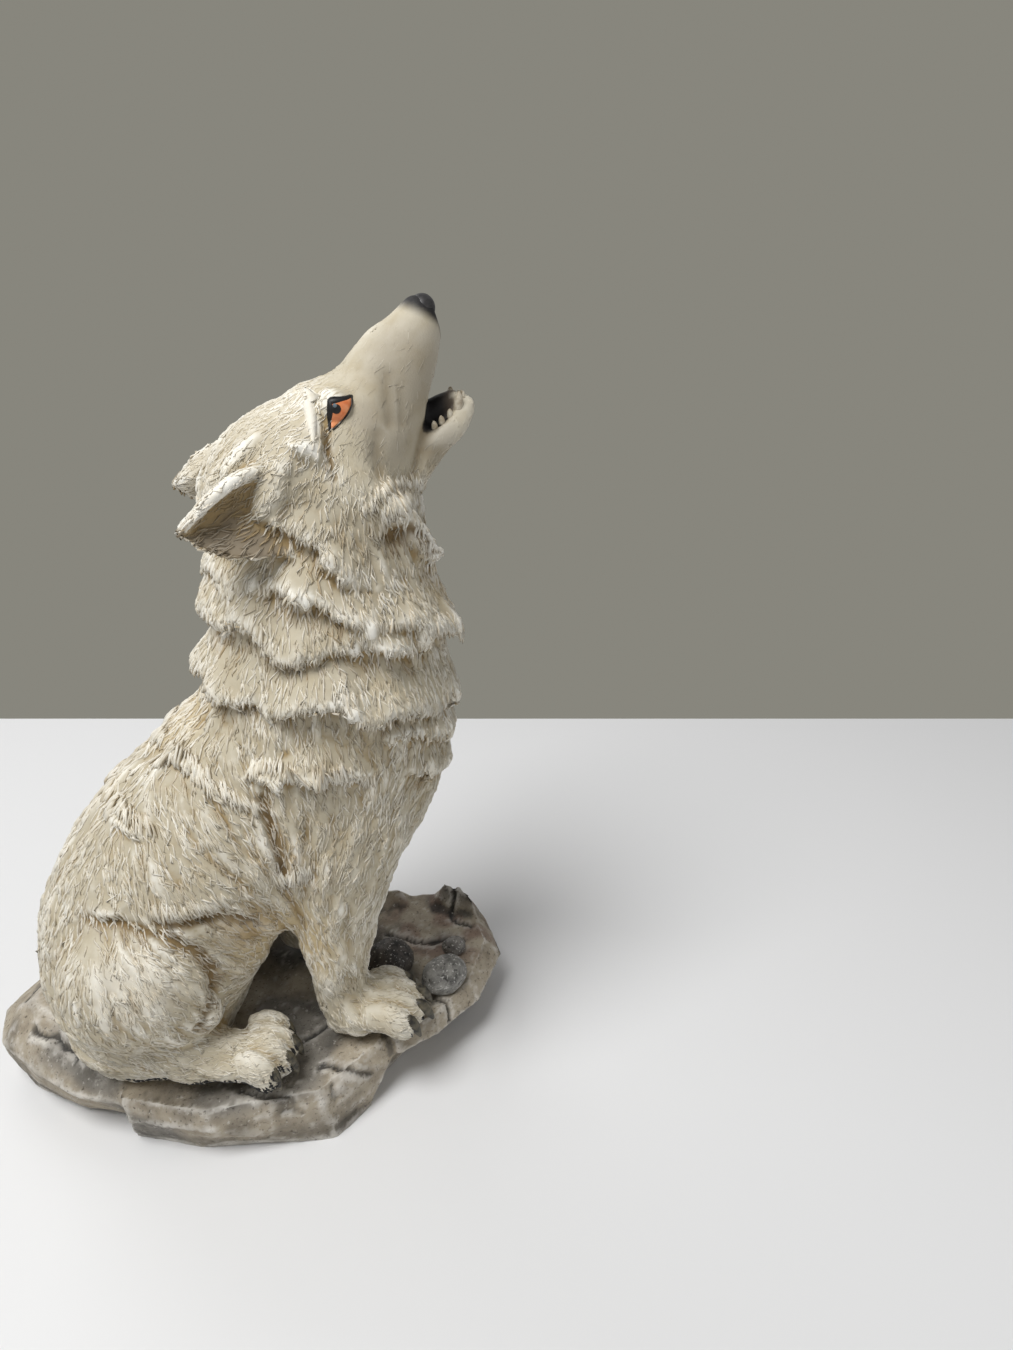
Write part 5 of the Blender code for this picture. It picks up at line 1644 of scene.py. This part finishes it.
IRIS_ORANGE = enamel("iris_orange", rgb(236, 158, 106), rgb(214, 112, 58), 0.35, 0.5, 4, 0.1)
LID_BLACK = enamel("lid_black", rgb(20, 18, 18), rgb(8, 7, 7), 0.45, 0.6, 2)
# Grey of the painted reflection in each eye.
GLINT_GREY = enamel("glint_grey", rgb(112, 126, 134), rgb(84, 98, 108), 0.35, 0.5, 1.5)
NOSE_PAINT = enamel("nose_paint", rgb(58, 56, 56), rgb(26, 25, 26), 0.36, 0.5, 3, 0.15)
CLAW_PAINT = enamel("claw_paint", rgb(104, 97, 78), rgb(34, 31, 26), 0.4, 0.55, 3)
TOOTH_PAINT = enamel("tooth_paint", rgb(206, 198, 180), rgb(164, 150, 126), 0.4, 0.55, 2)
print("enamels:", [m.name for m in bpy.data.materials])

# %% [markdown]
# The eye is painted from the bottom up: the orange field, then the black lines and the pupil a little
# higher, and the glint, a painted reflection, on top, so that each colour lies clear over the one below.

# %% Eyes
def eyes():
    """The three paints of both eyes, each a piece of its own."""
    def field(bm):
        for side in (-1, 1):
            patch(bm, EYE_FIELD, side, 0.3)

    def black(bm):
        for side in (-1, 1):
            for line in LID_STROKES:
                stroke(bm, line, side, 0.5)
            patch(bm, disc(*PUPIL), side, 0.45, rings=4)

    def glint(bm):
        for side in (-1, 1):
            patch(bm, disc(*GLINT), side, 0.62, rings=3)

    placed("eye_irises", mesh_of("irises", field), IRIS_ORANGE)
    placed("eye_lids_and_pupils", mesh_of("lids", black), LID_BLACK)
    placed("eye_glints", mesh_of("glints", glint), GLINT_GREY)


eyes()

# %% [markdown]
# Two more strokes of thick paint: a white one on each brow, and rows of short black dashes round the
# hind toes and under the hind feet, which stand for the dark hair between the pads.

# %% Brow and dashes
BROW_STROKE = [
    (41.0, 261.0, 1.2), (40.3, 258.0, 3.6), (39.8, 252.5, 3.4), (39.4, 248.5, 2.2), (39.0, 246.5, 0.8),
]
BROW_WHITE = rgb(232, 227, 214)
# Where the hind foot meets the rock, on the right side.
FOOT_LINE = [
    (-56, -30, 6), (-45, -38, 6), (-34, -46, 6), (-24, -52, 6), (-15, -56, 6), (-7, -60, 6), (3, -62, 6),
]
DASH_COUNT = 40
DASHES_PER_TOE = 6
DASH_LENGTHS = (4, 7)
DASH_WIDTHS = (1.2, 2.2)
DASH_HEIGHTS = (0.7, 1.2)


def brow(bm):
    """A white stroke on each brow."""
    for side in (-1, 1):
        stroke(bm, BROW_STROKE, side, 0.55, steps=30)


def dashes(seed):
    """A mesh of black dashes on the skin, round the hind feet and the toes."""
    rng = np.random.default_rng(seed)
    starts, ways = [], []
    for side in (-1, 1):
        for x, y, z in spline(FOOT_LINE, DASH_COUNT):
            starts.append((x, -side * y, z + rng.uniform(-0.5, 2)))
            ways.append((0.6, 0, -0.9))
    for place in paw_places():
        hind = place[0] == HIND_PAW[0]
        for start, along, across, length in toes(*place):
            for off in np.linspace(-0.8, 0.8, DASHES_PER_TOE if hind else 3):
                x, y = start + along * length * rng.uniform(1.15, 1.35) + across * off * TOE_WIDTH
                starts.append((x, y, rng.uniform(9, 14) if hind else 8))
                ways.append((*(0.5 * along), -1.1))
    starts, ways = np.array(starts), unit(np.array(ways))
    n = len(starts)
    reach = rng.uniform(*DASH_LENGTHS, n)
    knots = []
    ups = []
    for share in np.linspace(0, 1, 5):
        spots, index = skin.nearest(starts + ways * (reach * share)[:, None])
        knots.append(spots)
        ups.append(skin.normals[index])
    widths = rng.uniform(*DASH_WIDTHS, n)
    heights = rng.uniform(*DASH_HEIGHTS, n)
    verts, faces, _ = ridges(np.stack(knots, 1), np.stack(ups, 1), widths, heights)
    return mesh_from("dashes", verts, faces)


brow_mesh = mesh_of("brow", brow)
brow_colours = np.tile(BROW_WHITE, (len(brow_mesh.vertices), 1))
placed("brow_strokes", brow_mesh, FUR_PAINT, brow_colours)
placed("paw_dashes", dashes(41), LID_BLACK)

# %% [markdown]
# The nose is a smooth pad with a nostril dented into each side and a groove down its front. A ball's
# points are pushed in near those places, deepest in the middle of each dent.

# %% Nose
NOSE_GROWTH = 1.06
NOSTRIL_WAY = unit(np.array((0.62, 0.74, 0.0)))
NOSTRIL_TURN = 0.34
NOSTRIL_DEPTH = 0.42
GROOVE_HALF_WIDTH = 0.6
GROOVE_DEPTH = 0.09


def nose_pad(bm):
    """A ball with a groove and two nostrils, at the tip of the muzzle."""
    bmesh.ops.create_uvsphere(bm, u_segments=64, v_segments=40, radius=1)
    for vert in bm.verts:
        way = np.array(vert.co)
        away = math.acos(min(1.0, float(np.dot((way[0], abs(way[1]), way[2]), NOSTRIL_WAY))))
        dent = NOSTRIL_DEPTH * math.exp(-((away / NOSTRIL_TURN) ** 2))
        groove = GROOVE_DEPTH * math.exp(-((way[1] * NOSE_WIDTH / GROOVE_HALF_WIDTH) ** 2)) * (way[0] > 0)
        vert.co *= 1 - dent - groove
    centre, radii, pitch = NOSE
    turn = Matrix.Rotation(math.radians(-pitch), 4, "Y")
    size = Matrix.Diagonal((*(r * NOSE_GROWTH for r in radii), 1))
    bm.transform(Matrix.Translation(raised(centre)) @ turn @ size)


placed("nose_pad", mesh_of("nose", nose_pad), NOSE_PAINT)

# %% [markdown]
# Teeth and claws are short horns: a loft whose rings shrink towards the tip. Two long canines and a few
# low teeth stand inside the lower lips, and each toe has one claw that curves down to the rock.

# %% Teeth and claws
# On the right side: foot, tip and radius of each tooth, measured from the top of the neck.
TEETH = [
    ((93.4, 5.2, 28.0), (93.8, 5.6, 34.2), 1.8), ((90.2, 6.4, 26.0), (89.9, 6.7, 28.8), 1.2),
    ((87.0, 7.0, 24.0), (86.5, 7.3, 26.8), 1.2), ((84.2, 7.4, 22.5), (83.7, 7.8, 25.2), 1.2),
    ((97.0, 1.1, 30.4), (96.6, 1.2, 33.8), 0.8), ((96.4, 2.8, 30.0), (96.0, 3.0, 33.4), 0.8),
]
# Along a tooth: share of its length and of its radius.
HORN = ((0.0, 1.0), (0.4, 0.95), (0.75, 0.75), (1.0, 0.35))
# Along a claw: share of the toe's length, share of TOE_HEIGHT, and radius.
CLAW_SHARES = ((0.95, 1.0, 1.4), (1.16, 0.9, 2.4), (1.36, 0.6, 2.1), (1.52, 0.25, 0.8))


def teeth(bm):
    """The lower teeth of both sides."""
    for side in (-1, 1):
        for foot, tip, radius in TEETH:
            foot, tip = (np.array(raised((x, side * y, z))) for x, y, z in (foot, tip))
            rows = [(*(foot + (tip - foot) * share), radius * width, radius * width) for share, width in HORN]
            loft(bm, rows, sides=12, steps=10)


def claws(bm):
    """One claw on each toe."""
    for place in paw_places():
        for start, along, across, length in toes(*place):
            rows = []
            for share, rise, radius in CLAW_SHARES:
                x, y = start + along * length * share
                rows.append((x, y, rise * TOE_HEIGHT, radius, radius))
            loft(bm, rows, across=(*across, 0), sides=12, steps=12)


placed("teeth", mesh_of("teeth", teeth), TOOTH_PAINT)
placed("claws", mesh_of("claws", claws), CLAW_PAINT)

# %% [markdown]
# The rock is broken stone: convex lumps with flat faces and sharp rims. Convex hulls give that look, a
# Remesh joins them, and noise roughens the faces. The underside is cut flat where it meets the floor.

# %% Rock forms
UNDERCUT = 4.0
ROCK_FRONT = 112.0
ROCK_BACK = 112.0
ROCK_NEAR = 61.0
ROCK_FAR = 69.0
ROCK_GRAIN = 1.5


def rock_forms(bm):
    """The lumps of the rock, which reach UNDERCUT below the floor until they are cut."""
    floor = -SEAT_HEIGHT - UNDERCUT
    front, back, near, far = ROCK_FRONT, -ROCK_BACK, -ROCK_NEAR, ROCK_FAR
    # The boulder under the rump.
    stone(bm, (floor, [(back + 12, 8), (-82, -8), (-60, -20), (-52, 48), (-84, 56),
                       (back + 12, 42), (back + 4, 28)]),
          (-8, [(back, 15), (back + 16, -8), (-78, -26), (-60, -36),
                (back, 36), (back + 14, 54), (-76, 64), (-50, 62)]),
          (3, [(back + 18, 0), (-74, -16), (-60, -20), (-84, 52), (-60, 56)]),
          (10, [(back + 16, 18), (back + 24, 34)]))
    # The front slab, under the haunch and the hind foot.
    stone(bm, (floor, [(-60, -32), (-30, -47), (20, near + 1), (34, -50), (30, 52), (-10, 58), (-50, 50)]),
          (-13, [(-60, -40), (-28, near + 4), (16, near), (48, -44), (-60, 56), (-12, 66), (36, 58)]),
          (-3, [(-62, -36), (-30, near + 8), (14, near + 3), (44, -40), (38, 52), (-14, 62), (-50, 58)]))
    # The right slab, which juts out over its own foot.
    stone(bm, (-21, [(40, -30), (64, -30), (84, -16), (front - 16, 4), (front - 14, 26), (84, 40), (30, 50)]),
          (-9, [(50, -46), (69, -41), (92, -27), (front - 1, -2),
                (front, 26), (front - 5, 42), (92, 50), (30, 60)]),
          (0, [(48, -40), (68, -37), (88, -22), (front - 8, 2), (front - 7, 26), (92, 44), (30, 52)]))
    stone(bm, (floor, [(20, -40), (40, -36), (66, -16), (76, 12), (64, 38), (20, 48)]),
          (-14, [(20, -48), (46, -40), (80, -18), (92, 10), (76, 44), (20, 54)]))
    # The raised rim behind the pebbles.
    stone(bm, (-6, [(84, 44), (front - 12, 46), (front - 2, 30), (front - 6, 14), (80, 34)]),
          (9, [(92, 38), (front - 11, 34), (front - 9, 24)]))
    stone(bm, (-6, [(50, 56), (80, 52), (78, 36), (54, 34)]), (7, [(60, 48), (72, 44)]))
    # The step under the tail.
    stone(bm, (-10, [(-60, far - 3), (-20, far), (16, far - 7), (20, 40), (-60, 40)]),
          (0, [(-56, far - 11), (-20, far - 8), (12, far - 13), (-20, 40)]))


def cut_flat(mesh):
    """Cuts the mesh flat at the floor and closes it there."""
    bm = bmesh.new()
    bm.from_mesh(mesh)
    whole = bm.verts[:] + bm.edges[:] + bm.faces[:]
    ground = (0, 0, -SEAT_HEIGHT)
    cut = bmesh.ops.bisect_plane(bm, geom=whole, plane_co=ground, plane_no=(0, 0, -1), clear_outer=True)
    rim = [g for g in cut["geom_cut"] if isinstance(g, bmesh.types.BMEdge)]
    bmesh.ops.triangle_fill(bm, use_beauty=True, edges=rim)
    bmesh.ops.recalc_face_normals(bm, faces=bm.faces)
    bm.to_mesh(mesh)
    bm.free()


rock = fused(mesh_of("rock", rock_forms), ROCK_GRAIN, 1)
print("rock:", len(rock.vertices), "points")

# %% [markdown]
# Broken stone is rough in three ways: chips over all of it, thin layers that show on its sides, and a
# few long cracks. Each is a noise or a line that pushes the points in, and never out, so that the
# rock stays inside the model's box.

# %% Roughen the rock
# Cracks seen from above, x and y.
CRACKS = [
    [(-57, -42), (-46, -52), (-36, -60)], [(-18, -49), (-1, -56), (8, -60)],
    [(16, -46), (29, -48), (44, -52)],
    [(20, -57), (31, -57), (46, -46)], [(60, 22), (75, 10), (94, 6)], [(34, -20), (10, -30), (-8, -20)],
    [(76, -36), (70, -24), (60, -16)], [(98, 12), (92, 24), (98, 36)], [(-96, 6), (-84, 0), (-78, -14)],
    [(-98, 26), (-88, 34), (-92, 46)], [(-40, 60), (-10, 56), (20, 58)],
]
CRACK_HALF_WIDTH = 1.1
CRACK_DEPTH = 1.6
CHIP_SIZE = 14
GRIT_SIZE = 4.0
# How wide and how high the layers on the rock's sides are.
LAYER_SIZE = (30, 5.5)


def near_crack(points, normals):
    """1 on a crack and 0 away from it, on the faces that look up."""
    wander = np.array([noise.noise(Vector(p) / 9) for p in points.tolist()]) * 3
    flat = np.column_stack([points[:, 0] + wander, np.zeros(len(points)), points[:, 1] + wander])
    away = np.min([to_line(flat, line) for line in CRACKS], axis=0)
    return np.exp(-((away / CRACK_HALF_WIDTH) ** 2)) * eased(normals[:, 2], 0.1, 0.5)


def roughened(mesh):
    """Pushes the rock's points in by noise, in layers, chips and cracks."""
    stone_skin = Skin(mesh)
    points, normals = stone_skin.points, stone_skin.normals
    spots = [Vector(p) for p in points.tolist()]
    chips = np.array([noise.hetero_terrain(p / CHIP_SIZE, 0.9, 2.1, 5, 0.4) for p in spots])
    grit = np.array([noise.fractal(p / GRIT_SIZE, 0.7, 2.2, 3) for p in spots])
    wide, high = LAYER_SIZE
    layers = np.array([noise.noise(Vector((p.x / wide, p.y / wide, p.z / high))) for p in spots])
    side = 1 - eased(np.abs(normals[:, 2]), 0.5, 0.9)
    depth = 0.7 + 0.5 * np.clip(chips, -1, 1.5) + 0.25 * grit + 0.8 * side * np.clip(layers, -0.5, 0.7)
    depth = np.clip(depth, 0, 3.2) + CRACK_DEPTH * near_crack(points, normals)
    return moved_to(mesh, points - normals * depth[:, None])


rock = roughened(rock)
cut_flat(rock)
rock_skin = Skin(rock)
rock_hollow = hollowness(rock_skin, 5)
rock_broad = hollowness(rock_skin, 30)
print("rock hollows:", rock_hollow.min().round(2), rock_hollow.max().round(2))

# %% [markdown]
# The rock is painted like the coat, but in stone colours: taupe with grey patches, a rusty stain in
# front, charcoal in hollows and cracks, which also paints the shade that falls in them, darker patches
# low down as painted shade near the floor, and chalk brushed over the rims. A finer mottling in the
# material breaks it all up.

# %% Paint the rock
TAUPE = rgb(172, 161, 142)
STONE_GREY = rgb(128, 123, 114)
RUST = rgb(128, 100, 86)
CHARCOAL = rgb(50, 48, 45)
CHALK = rgb(222, 218, 210)
# Where the dry brush left the most chalk: places and radii.
CHALK_DABS = [((24, -56, -6), 13), ((100, 40, 6), 9), ((-98, -4, -8), 12), ((84, 46, 4), 8)]
RUST_PLACE = (88, 20, 2)
# Charcoal washes, which also paint the shade in hollows, and chalk brushes of the rock, as for the coat.
FINE_CHARCOAL = (0.04, 0.4, 0.7)
BROAD_CHARCOAL = (0.8, 3.2, 0.5)
FINE_CHALK = (0.04, 0.25, 0.7)
BROAD_CHALK = (0.5, 1.8, 0.9)


def rock_paint_of(points, normals, fine, broad):
    """A colour for each point of the rock, from how hollow it is and where it lies."""
    tint = mixed(np.tile(TAUPE, (len(points), 1)), STONE_GREY, eased(patches(points, 30, 3), 0.45, 0.7))
    rusty = np.linalg.norm(points - np.array(RUST_PLACE), axis=1)
    tint = mixed(tint, RUST, 0.7 * (1 - eased(rusty, 18, 38)) * eased(patches(points, 12, 5), 0.4, 0.6))
    # Charcoal in fine and broad hollows: dark wash and painted shade together.
    hollow_wash_and_shade = laid(fine, *FINE_CHARCOAL) + laid(broad, *BROAD_CHARCOAL)
    tint = mixed(tint, CHARCOAL, np.clip(hollow_wash_and_shade, 0, 1))
    # Charcoal along the cracks: dark wash and the painted shade inside them.
    tint = mixed(tint, CHARCOAL, 0.9 * near_crack(points, normals))
    tint = mixed(tint, CHARCOAL, 0.4 * eased(patches(points, 16, 13), 0.62, 0.85))
    # Darker in patches towards the bottom: painted shade on the rock's lower part.
    tint = mixed(tint, CHARCOAL, 0.5 * eased(-points[:, 2], 12, 26) * eased(patches(points, 18, 9), 0.3, 0.7))
    chalky = laid(-fine, *FINE_CHALK) + laid(-broad, *BROAD_CHALK)
    for place, radius in CHALK_DABS:
        away = np.linalg.norm(points - np.array(place), axis=1)
        dabbed = 0.6 * (1 - eased(away, radius * 0.3, radius))
        chalky = chalky + dabbed * eased(patches(points, 4, 15), 0.4, 0.7)
    return mixed(tint, CHALK, np.clip(chalky, 0, 0.9) * (0.3 + 0.7 * patches(points, 7, 7)))


def stone_paint():
    """Dull paint that shows the colours of the mesh's points, with speckles."""
    paint, tree, shader = new_paint("stone_paint")
    colour = add(tree, "ShaderNodeAttribute", attribute_name="paint").outputs["Color"]
    cloudy = ramp(tree, noise_at(tree, 9, 6, 0.65), 0.45, 0.7, 0, 0.5)
    colour = tinted(tree, colour, cloudy, rgb(158, 150, 138))
    colour = tinted(tree, colour, ramp(tree, noise_at(tree, 1.6, 4), 0.58, 0.72, 0, 0.8), rgb(120, 112, 102))
    colour = tinted(tree, colour, ramp(tree, noise_at(tree, 2.3, 5), 0.62, 0.74, 0, 0.5), CHALK, "MIX")
    tree.links.new(colour, shader.inputs["Base Color"])
    tree.links.new(ramp(tree, noise_at(tree, 5), 0.3, 0.7, 0.55, 0.85), shader.inputs["Roughness"])
    bumped(tree, shader, noise_at(tree, 1.3, 6, 0.7), 0.7, 0.6)
    return paint


STONE_PAINT = stone_paint()
rock_colours = rock_paint_of(rock_skin.points, rock_skin.normals, rock_hollow, rock_broad)
rock_piece = placed("rock", rock, STONE_PAINT, rock_colours)
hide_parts("wolf_casting")

# %% [markdown]
# Three loose stones are cast on with the rock: a speckled grey egg, a small round one and a dark one
# behind the paw. They are balls whose points are moved by noise, so that none is quite round.

# %% Loose stones
PEBBLE_RADIUS = 11.0
PEBBLE_WOBBLE = 0.5
# Place, radii as shares of PEBBLE_RADIUS, turn, and the two colours that each is mottled with.
PEBBLES = {
    "egg_stone": ((77, -20, 5), (1, 0.8, 0.75), 20, rgb(150, 148, 142), rgb(92, 90, 86)),
    "small_stone": ((87, -1, 2.5), (0.5, 0.45, 0.4), 0, rgb(134, 130, 124), rgb(84, 80, 76)),
    "dark_stone": ((56, -3, 5), (1, 0.9, 0.9), 0, rgb(96, 90, 84), rgb(44, 42, 40)),
}


def pebble_paint(name, light, dark):
    """An enamel with pale and dark speckles."""
    paint = enamel(name, light, dark, 0.45, 0.7, 5)
    tree = paint.node_tree
    shader = tree.nodes["Principled BSDF"]
    colour = shader.inputs["Base Color"].links[0].from_socket
    pale_specks = ramp(tree, noise_at(tree, 1.1, 4), 0.6, 0.68, 0, 0.75)
    colour = tinted(tree, colour, pale_specks, rgb(226, 224, 218), "MIX")
    colour = tinted(tree, colour, ramp(tree, noise_at(tree, 1.7, 4), 0.58, 0.68, 0, 0.8), rgb(70, 66, 62))
    tree.links.new(colour, shader.inputs["Base Color"])
    return paint


for name, (centre, shares, turn, light, dark) in PEBBLES.items():
    mesh = mesh_of(name, lambda bm: ball(bm, centre, [s * PEBBLE_RADIUS for s in shares], yaw=turn, fine=4))
    for vert in mesh.vertices:
        vert.co += vert.normal * PEBBLE_WOBBLE * noise.fractal(vert.co / 7, 1.0, 2.0, 4)
    placed(name, mesh, pebble_paint(name + "_paint", light, dark))
